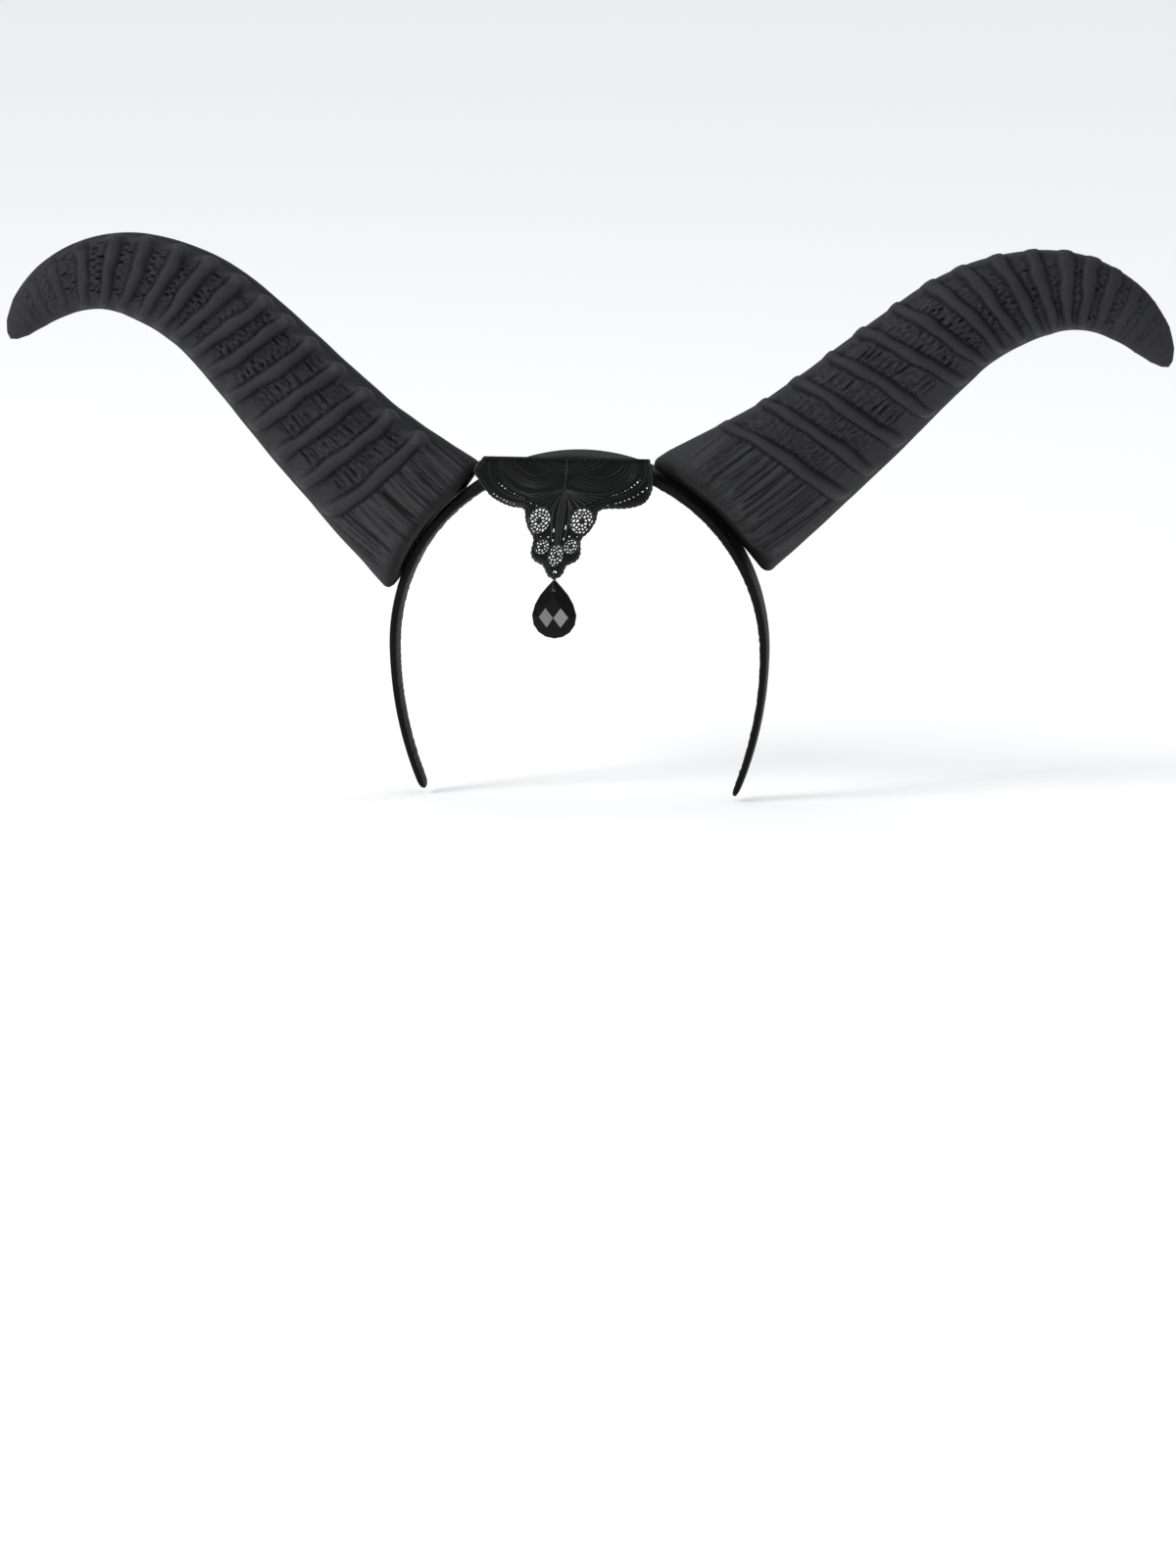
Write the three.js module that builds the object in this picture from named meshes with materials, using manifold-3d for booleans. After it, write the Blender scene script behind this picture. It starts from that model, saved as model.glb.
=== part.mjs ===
// Devil horn headband: a covered head band, two curved foam horns with ribbed
// fronts, a motif of pierced lace on the front of the band, and a faceted drop
// that hangs from the tip of the lace on a loop of thread.
//
// Lengths are in millimetres and +Z is up. The origin is the seat on the head:
// the middle of the band's inner face at its top. The front faces -Y and +X is
// to the right of someone who looks at the front. The lace keeps the form it
// has on a head: down the front edge of the band, then forward over the crown.
import * as THREE from 'three';
import { mergeVertices } from 'three/addons/utils/BufferGeometryUtils.js';
import Module from 'manifold-3d';

const wasm = await Module();
wasm.setup();

// Clearance between pieces that touch on the real headband
const SEAT_GAP = 0.3;

// Head band: its middle line is half an ellipse with an arc on either side
const BAND_HALF_SPAN = 78.4;
const BAND_RISE = 80.4;
const BAND_LEG_RADIUS = 158;
const BAND_LEG_LENGTH = 63.5;
const BAND_WIDTH = 26;
const BAND_THICKNESS = 5.2;
const BAND_SIDES = 12;
const BAND_SQUARENESS = 0.55;
const BAND_ARCH_STEPS = 15;
const BAND_LEG_STEPS = 6;
const BAND_TIP_START = 0.985;

// Horns: lengths run along the bent middle line, from the base to the tip
const HORN_LENGTH = 232;
const HORN_WIDTH = 63;
const HORN_FRONT_DEPTH = 20;
const HORN_BACK_DEPTH = 16;
const HORN_SEAT_DEPTH = 2.9;
const HORN_FULLNESS = 0.86;
const HORN_STEPS = 240;
const RIB_HEIGHT = 1.3;
const RIB_FOOT = 7;
const RIB_CREST = 3;
const RIB_SLANT_FADES = { base: 0.12, tip: 0.17 };
const RIB_LAST_SIZE = 0.35;
const RIB_LENGTH_CHANGE = 0.8;
const VALLEY_DEPTH = 1.5;

// Lace motif: measured flat, before it is bent over the band and the crown
const LACE_HALF_WIDTH = 37.5;
const LACE_DROP = 61;
const LACE_THICKNESS = 1.2;
const LACE_TOP = 4.9;
const LACE_OFFSET = -3;
const LACE_FOLD_RADIUS = 10;
const LACE_LEAN = 52;
const LACE_CROWN_RADIUS = 197;
const LACE_BAR = 1.6;
const LACE_ROWS = 19;
const LACE_COLUMNS = 6;
const EYELET = { round: 0.95, out: 0.95 };
const EYELET_SIDES = 4;
const NET_GAP = { round: 1.05, out: 1.45 };
const NET_GAP_SIDES = 5;
const NET_FIRST_RING = 2.1;
const NET_RING_STEP = 2.1;
const THREAD_GAP = { round: 1.7, out: 2.4 };
const THREAD_GAP_SIDES = 8;

// Faceted drop and the thread that carries it
const STONE_WIDTH = 18.4;
const STONE_HEIGHT = 24;
const STONE_DEPTH = 7;
const STONE_TIP_GAP = 1.6;
const STONE_HOLE_DROP = 3.6;
const STONE_HOLE_SIDES = 8;
const THREAD_DIAMETER = 0.7;
const THREAD_CLEARANCE = 0.4;
const THREAD_SIDES = 6;
const THREAD_ROUNDING = 0.8;

// Widths and thicknesses of the band, from its top down to a tip
const bandSections = [
  { along: 0.0, width: 1.0, thickness: 1.0 },
  { along: 0.22, width: 0.98, thickness: 0.98 },
  { along: 0.42, width: 0.8, thickness: 0.86 },
  { along: 0.56, width: 0.6, thickness: 0.72 },
  { along: 0.72, width: 0.5, thickness: 0.62 },
  { along: 0.96, width: 0.43, thickness: 0.56 },
  { along: 0.99, width: 0.36, thickness: 0.48 },
  { along: 1.0, width: 0.2, thickness: 0.3 },
];

// Form of both horns: the turn is in degrees from their straight stretch
const hornSections = [
  { along: -0.05, turn: -7, width: 1.07 },
  { along: 0.0, turn: -7, width: 1.06 },
  { along: 0.07, turn: -7.5, width: 0.99 },
  { along: 0.2, turn: -3.5, width: 0.87 },
  { along: 0.36, turn: 0, width: 0.785 },
  { along: 0.52, turn: -2.7, width: 0.695 },
  { along: 0.62, turn: -18.9, width: 0.64 },
  { along: 0.72, turn: -34.5, width: 0.565 },
  { along: 0.8, turn: -59, width: 0.475 },
  { along: 0.88, turn: -81, width: 0.385 },
  { along: 0.94, turn: -96.5, width: 0.285 },
  { along: 0.975, turn: -102, width: 0.18 },
  { along: 0.993, turn: -105, width: 0.085 },
  { along: 1.0, turn: -106.5, width: 0 },
];

// Places of the horns: the angle round the band from the middle of its widest
// line, the distance of the middle line's start outside the band's outer face,
// the rise of the straight stretch, the rise of the base's own normal, a roll
// about the horn's length, and the slant of the ribs
const hornPlaces = {
  left: { side: -1, round: 39.6, beyond: -4.2, rise: 47, base: 36, roll: -3, slant: 9 },
  right: { side: 1, round: 45.1, beyond: -0.4, rise: 42.4, base: 46, roll: 9, slant: 18 },
};

// Places of the ribs along the middle of each horn's front, closer together
// towards the tip
const ribRows = [
  { left: 32.8, right: 42.3 },
  { left: 49.1, right: 58.7 },
  { left: 64.8, right: 74.4 },
  { left: 80.5, right: 92.1 },
  { left: 94.4, right: 109.2 },
  { left: 109.2, right: 123.4 },
  { left: 120.9, right: 136.2 },
  { left: 132.6, right: 147.2 },
  { left: 143.3, right: 158.0 },
  { left: 154.2, right: 167.4 },
  { left: 165.5, right: 176.2 },
  { left: 177.4, right: 184.8 },
  { left: 188.6, right: 193.4 },
  { left: 200.3, right: 202.4 },
];

// Outline of the lace, from the middle of its top edge down to its tip, as
// shares of its half width and of its drop
const laceOutline = [
  { down: 0.0, left: 0.93, right: 0.92 },
  { down: 0.09, left: 1.05, right: 0.95 },
  { down: 0.17, left: 1.0, right: 0.965 },
  { down: 0.27, left: 0.88, right: 0.93 },
  { down: 0.35, left: 0.73, right: 0.86 },
  { down: 0.4, left: 0.59, right: 0.7 },
  { down: 0.43, left: 0.44, right: 0.43 },
  { down: 0.53, left: 0.4, right: 0.39 },
  { down: 0.62, left: 0.34, right: 0.33 },
  { down: 0.69, left: 0.285, right: 0.255 },
  { down: 0.8, left: 0.295, right: 0.265 },
  { down: 0.86, left: 0.25, right: 0.225 },
  { down: 0.9, left: 0.15, right: 0.125 },
  { down: 0.95, left: 0.105, right: 0.1 },
  { down: 0.985, left: 0.07, right: 0.065 },
  { down: 1.0, left: 0.02, right: 0.02 },
];

// Net fields of the lace: rings of gaps round a solid eye
const netFields = [
  { across: -0.23, down: 0.475, rings: [8, 12] },
  { across: 0.23, down: 0.475, rings: [8, 12] },
  { across: -0.17, down: 0.77, rings: [8] },
  { across: 0.15, down: 0.755, rings: [8] },
  { across: 0.0, down: 0.865, rings: [8] },
];

// Rows of eyelets along the lobes of the fan, and an arch at its top
const eyeletRows = [
  { from: [0.5, 0.335], to: [0.86, 0.185], bow: 0.05, count: 7 },
  { from: [0.56, 0.365], to: [0.91, 0.24], bow: 0.04, count: 6 },
  { from: [-0.5, 0.335], to: [-0.8, 0.22], bow: 0.04, count: 6 },
  { from: [-0.4, 0.385], to: [-0.62, 0.325], bow: 0.02, count: 4 },
  { from: [-0.2, 0.09], to: [0.2, 0.09], bow: -0.05, count: 5 },
];

// Corners of the facets on one face of the drop, as shares of its half width,
// of its height from the bottom and of half its depth. Those of the rim run
// from the tip down to the foot.
const stonePoints = {
  meet: { across: 0, up: 0.375, out: 1 },
  shoulder: { across: 0.344, up: 0.55, out: 1 },
  crown: { across: 0, up: 0.79, out: 1 },
  corner: { across: 0.667, up: 0.379, out: 0.63 },
  hip: { across: 0.311, up: 0.198, out: 0.63 },
  foot: { across: 0, up: 0.108, out: 0.44 },
  rim0: { across: 0.07, up: 1, out: 0.17 },
  rim1: { across: 0.34, up: 0.885, out: 0.17 },
  rim2: { across: 0.62, up: 0.755, out: 0.17 },
  rim3: { across: 0.86, up: 0.59, out: 0.17 },
  rim4: { across: 1, up: 0.4, out: 0.17 },
  rim5: { across: 0.93, up: 0.235, out: 0.17 },
  rim6: { across: 0.71, up: 0.11, out: 0.17 },
  rim7: { across: 0.39, up: 0.03, out: 0.17 },
  rim8: { across: 0, up: 0, out: 0.17 },
};

// Facets on the right of one face, and those that lie across its middle, where
// a minus marks the same corner on the left
const sideFacets = [
  ['meet', 'hip', 'corner', 'shoulder'],
  ['crown', 'rim1', 'rim0'],
  ['crown', 'rim2', 'rim1'],
  ['crown', 'shoulder', 'rim2'],
  ['shoulder', 'rim3', 'rim2'],
  ['shoulder', 'corner', 'rim3'],
  ['corner', 'rim4', 'rim3'],
  ['corner', 'rim5', 'rim4'],
  ['corner', 'hip', 'rim5'],
  ['hip', 'rim6', 'rim5'],
  ['hip', 'rim7', 'rim6'],
  ['hip', 'foot', 'rim7'],
  ['foot', 'rim8', 'rim7'],
];
const middleFacets = [
  ['meet', 'shoulder', 'crown', '-shoulder'],
  ['meet', '-hip', 'foot', 'hip'],
  ['crown', 'rim0', '-rim0'],
];

// Finishes of the real headband
const finishes = {
  satin: new THREE.MeshStandardMaterial({ color: '#141513', roughness: 0.62, metalness: 0 }),
  foam: new THREE.MeshStandardMaterial({ color: '#2b2c2d', roughness: 0.7, metalness: 0 }),
  lace: new THREE.MeshStandardMaterial({ color: '#1a1c1b', roughness: 0.75, metalness: 0 }),
  acrylic: new THREE.MeshStandardMaterial({ color: '#0c0c0d', roughness: 0.08, metalness: 0 }),
  thread: new THREE.MeshStandardMaterial({ color: '#1c1c1c', roughness: 0.7, metalness: 0 }),
};

const radians = THREE.MathUtils.degToRad;
const mix = THREE.MathUtils.lerp;

// Value of a column of a table at a share of the length, straight between rows
function fromTable(table, along, column) {
  const last = table.length - 1;
  let row = 0;
  while (row < last - 1 && along > table[row + 1].along) row += 1;
  const low = table[row];
  const high = table[row + 1];
  const share = THREE.MathUtils.clamp((along - low.along) / (high.along - low.along), 0, 1);
  return mix(low[column], high[column], share);
}

// Closed skin over rings of equal count, with a fan over each end
function skinOver(rings) {
  const count = rings[0].length;
  const points = rings.flat();
  const faces = [];
  for (let ring = 0; ring < rings.length - 1; ring += 1) {
    for (let k = 0; k < count; k += 1) {
      const a = ring * count + k;
      const b = ring * count + ((k + 1) % count);
      faces.push(a, b, b + count, a, b + count, a + count);
    }
  }
  const middle = (ring) => ring.reduce((sum, p) => sum.add(p), new THREE.Vector3()).divideScalar(count);
  const start = points.push(middle(rings[0])) - 1;
  const end = points.push(middle(rings[rings.length - 1])) - 1;
  const lastRing = (rings.length - 1) * count;
  for (let k = 0; k < count; k += 1) {
    const next = (k + 1) % count;
    faces.push(start, next, k);
    faces.push(end, lastRing + k, lastRing + next);
  }
  const geometry = new THREE.BufferGeometry().setFromPoints(points);
  geometry.setIndex(faces);
  return facesOut(geometry);
}

// Turns a closed geometry the right way round when its volume is negative
function facesOut(geometry) {
  const place = geometry.getAttribute('position');
  const index = geometry.getIndex().array;
  const corner = (k) => new THREE.Vector3().fromBufferAttribute(place, index[k]);
  let volume = 0;
  for (let k = 0; k < index.length; k += 3) {
    volume += corner(k).dot(corner(k + 1).cross(corner(k + 2)));
  }
  if (volume < 0) {
    for (let k = 0; k < index.length; k += 3) {
      [index[k + 1], index[k + 2]] = [index[k + 2], index[k + 1]];
    }
  }
  return geometry;
}

// Closed geometry as a solid that can be joined and cut
function toSolid(geometry) {
  const plain = geometry.clone();
  plain.deleteAttribute('normal');
  plain.deleteAttribute('uv');
  const merged = mergeVertices(plain, 1e-4);
  return new wasm.Manifold(new wasm.Mesh({
    numProp: 3,
    vertProperties: new Float32Array(merged.getAttribute('position').array),
    triVerts: new Uint32Array(merged.getIndex().array),
  }));
}

// Solid as a geometry again
function toGeometry(solid) {
  const mesh = solid.getMesh();
  const geometry = new THREE.BufferGeometry();
  geometry.setAttribute('position', new THREE.BufferAttribute(mesh.vertProperties, 3));
  geometry.setIndex(new THREE.BufferAttribute(mesh.triVerts, 1));
  return geometry;
}

// Block whose lower face passes through a point, square to a direction
function blockBeyond(point, outward, size) {
  const block = new THREE.BoxGeometry(size, size, size);
  block.translate(0, 0, size / 2);
  const turn = new THREE.Quaternion().setFromUnitVectors(new THREE.Vector3(0, 0, 1), outward);
  block.applyQuaternion(turn);
  block.translate(point.x, point.y, point.z);
  return toSolid(block);
}

// Headband

const BAND_CENTRE_Z = BAND_THICKNESS / 2 - BAND_RISE;

// Outline of the band's arch at a distance outside its middle line
const archHeight = (offset) => BAND_RISE + offset;
const archSpan = (offset) => BAND_HALF_SPAN + offset;

// Place on the band's outer face at an angle from the middle of its widest
// line, moved outwards by a distance
function bandOutside(degrees, beyond, side) {
  const toward = new THREE.Vector3(Math.cos(radians(degrees)), 0, Math.sin(radians(degrees)));
  const span = archSpan(BAND_THICKNESS / 2);
  const height = archHeight(BAND_THICKNESS / 2);
  const reach = 1 / Math.hypot(toward.x / span, toward.z / height) + beyond;
  return new THREE.Vector3(side * reach * toward.x, 0, reach * toward.z + BAND_CENTRE_Z);
}

// Point of the band's middle line, with the direction that leads away from the
// head, at an arch angle above the widest line or a leg angle below it
function archPoint(angle) {
  const point = new THREE.Vector3(BAND_HALF_SPAN * Math.cos(angle), 0,
    BAND_CENTRE_Z + BAND_RISE * Math.sin(angle));
  const out = new THREE.Vector3(Math.cos(angle) / BAND_HALF_SPAN, 0, Math.sin(angle) / BAND_RISE);
  return { point, out: out.normalize() };
}
function legPoint(angle) {
  const centreX = BAND_HALF_SPAN - BAND_LEG_RADIUS;
  const out = new THREE.Vector3(Math.cos(angle), 0, -Math.sin(angle));
  const point = new THREE.Vector3(centreX, 0, BAND_CENTRE_Z).addScaledVector(out, BAND_LEG_RADIUS);
  return { point, out };
}

// Half of the band's middle line, from its top to a tip
function halfBand() {
  const legAngle = BAND_LEG_LENGTH / BAND_LEG_RADIUS;
  const stops = [];
  for (let k = 0; k <= BAND_ARCH_STEPS; k += 1) {
    stops.push(archPoint(Math.PI / 2 * (1 - k / BAND_ARCH_STEPS)));
  }
  for (let k = 1; k <= BAND_LEG_STEPS; k += 1) stops.push(legPoint(legAngle * k / BAND_LEG_STEPS));
  stops.splice(stops.length - 1, 0, legPoint(legAngle * BAND_TIP_START));
  let length = 0;
  stops.forEach((stop, k) => {
    if (k > 0) length += stop.point.distanceTo(stops[k - 1].point);
    stop.length = length;
  });
  stops.forEach((stop) => { stop.along = stop.length / length; });
  return stops;
}

// Section of the band: a flat pad with rounded edges
function bandRing({ point, out, along }, side) {
  const width = BAND_WIDTH * fromTable(bandSections, along, 'width');
  const thickness = BAND_THICKNESS * fromTable(bandSections, along, 'thickness');
  const ring = [];
  for (let k = 0; k < BAND_SIDES; k += 1) {
    const angle = 2 * Math.PI * (k + 0.5) / BAND_SIDES;
    const across = Math.sign(Math.cos(angle)) * Math.abs(Math.cos(angle)) ** BAND_SQUARENESS;
    const proud = Math.sign(Math.sin(angle)) * Math.abs(Math.sin(angle)) ** BAND_SQUARENESS;
    const place = point.clone().addScaledVector(out, proud * thickness / 2);
    place.y += across * width / 2;
    place.x *= side;
    ring.push(place);
  }
  return ring;
}

function headbandGeometry() {
  const half = halfBand();
  const left = half.slice(1).reverse().map((stop) => bandRing(stop, -1));
  const right = half.map((stop) => bandRing(stop, 1));
  return skinOver([...left, ...right]);
}

// Block of the shape of the band's arch and of what lies under it, a little
// larger than the band, which the seats of the horns are cut with
function archBlock(depth) {
  const grow = BAND_THICKNESS / 2 + SEAT_GAP;
  const shape = new THREE.Shape();
  shape.absellipse(0, 0, archSpan(grow), archHeight(grow), 0, Math.PI, false, 0);
  const block = new THREE.ExtrudeGeometry(shape, { depth, bevelEnabled: false, curveSegments: 40 });
  block.translate(0, 0, -depth / 2);
  block.rotateX(Math.PI / 2);
  block.translate(0, 0, BAND_CENTRE_Z);
  return toSolid(block);
}

// Horns

// Middle line of a horn, stepped from the base in its own plane: x leads out
// along the straight stretch and z to the outer side of the bend
const HORN_START = hornSections[0].along;
const hornLine = (() => {
  const line = [];
  const step = (1 - HORN_START) / HORN_STEPS;
  let x = 0;
  let z = 0;
  for (let k = 0; k <= HORN_STEPS; k += 1) {
    const along = HORN_START + k * step;
    const heading = radians(fromTable(hornSections, along, 'turn'));
    line.push({ along, x, z, heading });
    x += Math.cos(heading) * step * HORN_LENGTH;
    z += Math.sin(heading) * step * HORN_LENGTH;
  }
  const base = line[Math.round(-HORN_START / step)];
  return line.map((stop) => ({ ...stop, x: stop.x - base.x, z: stop.z - base.z }));
})();

function hornStop(along) {
  const index = THREE.MathUtils.clamp((along - HORN_START) / (1 - HORN_START) * HORN_STEPS, 0, HORN_STEPS);
  const low = hornLine[Math.floor(index)];
  const high = hornLine[Math.min(Math.floor(index) + 1, HORN_STEPS)];
  const share = index - Math.floor(index);
  return { x: mix(low.x, high.x, share), z: mix(low.z, high.z, share), heading: mix(low.heading, high.heading, share) };
}

// Size of a rib compared with the first one
const ribSize = (row) => mix(1, RIB_LAST_SIZE, row / (ribRows.length - 1));

// Angles round a horn's section, from the middle of the front, closer together
// on the ribbed front
const hornAngles = [0, 17, 34, 49, 62, 74, 90, 113, 136, 158, 180, 202, 224, 247, 270, 286, 298, 311, 326, 343];
const RIBBED_TO = 62;
const RIB_END = 12;

// Share of the relief at an angle: all of it in front, none on sides and back
function frontShare(angle) {
  const fromFront = Math.min(angle, 360 - angle);
  return THREE.MathUtils.clamp((RIBBED_TO + RIB_END - fromFront) / RIB_END, 0, 1);
}

// One ring of a horn: the section at a place, with its surface raised or sunk
// by the relief, and slanted so that ribs reach the outer side nearer the base
function hornRing(along, relief, { side, round, beyond, rise, roll, slant }) {
  const width = HORN_WIDTH * fromTable(hornSections, along, 'width');
  const leaning = Math.tan(radians(slant)) * THREE.MathUtils.clamp((1 - along) / RIB_SLANT_FADES.tip, 0, 1)
    * THREE.MathUtils.clamp(along / RIB_SLANT_FADES.base, 0, 1);
  const root = bandOutside(round, beyond, side);
  return hornAngles.map((degrees) => {
    const angle = radians(degrees);
    const front = Math.cos(angle) > 0;
    const depth = (front ? HORN_FRONT_DEPTH : HORN_BACK_DEPTH) * width / HORN_WIDTH;
    const outer = Math.sin(angle) * width / 2;
    const proud = Math.sign(Math.cos(angle)) * Math.abs(Math.cos(angle)) ** HORN_FULLNESS * depth;
    const raised = relief * frontShare(degrees);
    const stop = hornStop(along - leaning * outer / HORN_LENGTH);
    const lift = outer + raised * Math.sin(angle);
    const forward = -(proud + raised * Math.cos(angle));
    const place = new THREE.Vector3(stop.x - Math.sin(stop.heading) * lift, forward,
      stop.z + Math.cos(stop.heading) * lift);
    place.applyAxisAngle(new THREE.Vector3(1, 0, 0), radians(roll));
    place.applyAxisAngle(new THREE.Vector3(0, 1, 0), -radians(rise));
    place.x *= side;
    return place.add(root);
  });
}

// Stations between the last rib and the tip, as shares of what is left
const bareTip = [0.35, 0.6, 0.8, 0.93, 0.985];

// Stations along a horn: smooth base, ribs with sunk valleys between, bare tip
function hornStations(column) {
  const stations = [
    { place: HORN_START * HORN_LENGTH, relief: 0 },
    { place: 0, relief: 0 },
    { place: ribRows[0][column] / 2, relief: 0 },
  ];
  ribRows.forEach((row, k) => {
    const place = row[column];
    const size = ribSize(k);
    const foot = RIB_FOOT * mix(RIB_LENGTH_CHANGE, 1, size) / 2;
    const crest = RIB_CREST * mix(RIB_LENGTH_CHANGE, 1, size) / 2;
    stations.push({ place: place - foot, relief: -VALLEY_DEPTH * size });
    stations.push({ place: place - crest, relief: RIB_HEIGHT * size });
    stations.push({ place: place + crest, relief: RIB_HEIGHT * size });
    stations.push({ place: place + foot, relief: -VALLEY_DEPTH * size });
  });
  const bareFrom = ribRows[ribRows.length - 1][column] / HORN_LENGTH;
  bareTip.forEach((share) => {
    stations.push({ place: mix(bareFrom, 1, share) * HORN_LENGTH, relief: 0 });
  });
  return stations;
}

function hornGeometry(name) {
  const place = hornPlaces[name];
  const rings = hornStations(name).map((stop) => hornRing(stop.place / HORN_LENGTH, stop.relief, place));
  const horn = toSolid(skinOver(rings));
  const depth = 3 * (HORN_FRONT_DEPTH + HORN_BACK_DEPTH);
  const inward = new THREE.Vector3(-Math.cos(radians(place.base)) * place.side, 0, -Math.sin(radians(place.base)));
  const seat = bandOutside(place.round, -HORN_SEAT_DEPTH, place.side);
  const under = blockBeyond(seat, inward, 2 * HORN_WIDTH);
  return toGeometry(horn.subtract(archBlock(depth)).subtract(under));
}

// Lace motif

// Height of the band's inner front edge at a distance from its middle
function bandInnerZ(x) {
  const span = archSpan(-BAND_THICKNESS / 2);
  const share = Math.min(Math.abs(x) / span, 0.95);
  return BAND_CENTRE_Z + archHeight(-BAND_THICKNESS / 2) * Math.sqrt(1 - share * share);
}

// Place on the worn lace of a point of the flat one: straight down the front
// of the band, forward round a fold at the band's edge, then over the crown
function drape(across, down, lift) {
  const x = across + LACE_OFFSET;
  const foldAt = LACE_TOP - (bandInnerZ(x) + BAND_THICKNESS / 2);
  const lean = radians(LACE_LEAN);
  const foldLength = LACE_FOLD_RADIUS * lean;
  const free = Math.max(down - foldAt, 0);
  const inFold = Math.min(free, foldLength) / LACE_FOLD_RADIUS;
  const onCrown = Math.max(free - foldLength, 0) / LACE_CROWN_RADIUS;
  const tilt = inFold - onCrown;
  const place = new THREE.Vector3(x, -BAND_WIDTH / 2 - SEAT_GAP, LACE_TOP - Math.min(down, foldAt));
  place.y -= LACE_FOLD_RADIUS * (1 - Math.cos(inFold));
  place.z -= LACE_FOLD_RADIUS * Math.sin(inFold);
  place.y -= LACE_CROWN_RADIUS * (Math.cos(lean - onCrown) - Math.cos(lean));
  place.z -= LACE_CROWN_RADIUS * (Math.sin(lean) - Math.sin(lean - onCrown));
  place.y -= lift * Math.cos(tilt);
  place.z += lift * Math.sin(tilt);
  return { place, tilt };
}

// Even-sided block through the worn lace, longer in the direction of its turn
function gapBlock(across, down, { round, out }, turn, sides) {
  const corners = Array.from({ length: sides }, (_, k) => {
    const angle = 2 * Math.PI * (k + 0.5) / sides;
    const corner = new THREE.Vector2(Math.cos(angle) * out / 2, Math.sin(angle) * round / 2);
    return corner.rotateAround(new THREE.Vector2(), turn);
  });
  const depth = 3 * LACE_THICKNESS;
  const block = new THREE.ExtrudeGeometry(new THREE.Shape(corners), { depth, bevelEnabled: false });
  block.translate(0, 0, -depth / 2);
  const { place, tilt } = drape(across, down, LACE_THICKNESS / 2);
  block.rotateX(Math.PI / 2 - tilt);
  block.translate(place.x, place.y, place.z);
  return toSolid(block);
}

// Rows of the lace, from its top edge to its tip, each a ring of points that
// runs along the front and comes back along the back
function laceRows() {
  const side = (name) => new THREE.SplineCurve(laceOutline.map(
    (row) => new THREE.Vector2(row[name] * LACE_HALF_WIDTH, row.down * LACE_DROP)));
  const rightSide = side('right');
  const leftSide = side('left');
  return Array.from({ length: LACE_ROWS }, (_, row) => {
    const share = row / (LACE_ROWS - 1);
    const right = rightSide.getPoint(share);
    const left = leftSide.getPoint(share);
    const across = Array.from({ length: LACE_COLUMNS + 1 }, (_, k) => mix(-left.x, right.x, k / LACE_COLUMNS));
    const front = across.map((x) => drape(x, right.y, LACE_THICKNESS).place);
    const back = across.map((x) => drape(x, right.y, 0).place);
    return [...front, ...back.reverse()];
  });
}

function laceGeometry() {
  const gaps = [];
  netFields.forEach(({ across, down, rings }) => {
    rings.forEach((count, ring) => {
      const radius = NET_FIRST_RING + ring * NET_RING_STEP;
      for (let k = 0; k < count; k += 1) {
        const turn = 2 * Math.PI * (k + ring / 2) / count;
        const x = across * LACE_HALF_WIDTH + radius * Math.cos(turn);
        const y = down * LACE_DROP - radius * Math.sin(turn);
        gaps.push(gapBlock(x, y, NET_GAP, turn, NET_GAP_SIDES));
      }
    });
  });
  eyeletRows.forEach(({ from, to, bow, count }) => {
    for (let k = 0; k < count; k += 1) {
      const share = k / (count - 1);
      const x = mix(from[0], to[0], share) * LACE_HALF_WIDTH;
      const y = (mix(from[1], to[1], share) + bow * Math.sin(Math.PI * share)) * LACE_DROP;
      gaps.push(gapBlock(x, y, EYELET, 0, EYELET_SIDES));
    }
  });
  const threadGapDown = LACE_DROP - LACE_BAR - THREAD_GAP.out / 2;
  gaps.push(gapBlock(0, threadGapDown, THREAD_GAP, Math.PI / 2, THREAD_GAP_SIDES));
  const lace = toSolid(skinOver(laceRows()));
  return toGeometry(gaps.reduce((solid, gap) => solid.subtract(gap), lace));
}

// Faceted drop

// Hinge of the drop: the middle of the bar that closes the lace's tip
const hinge = drape(0, LACE_DROP - LACE_BAR / 2, LACE_THICKNESS / 2).place;

// Corner of a facet, on the front or back face; a minus puts it on the left
function stoneCorner(name, face) {
  const side = name.startsWith('-') ? -1 : 1;
  const { across, up, out } = stonePoints[name.replace('-', '')];
  return new THREE.Vector3(side * across * STONE_WIDTH / 2, face * out * STONE_DEPTH / 2, up * STONE_HEIGHT);
}

// Same facet on the other side of the middle
function mirrored(facet) {
  return facet.map((name) => (name.startsWith('-') ? name.slice(1) : `-${name}`)).reverse();
}

// Half thickness of the stone where its hole is drilled, on its highest facet
const STONE_TIP_HALF_DEPTH = (() => {
  const { crown, rim0 } = stonePoints;
  const up = 1 - STONE_HOLE_DROP / STONE_HEIGHT;
  const share = THREE.MathUtils.clamp((up - crown.up) / (rim0.up - crown.up), 0, 1);
  return mix(crown.out, rim0.out, share) * STONE_DEPTH / 2;
})();

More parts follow.
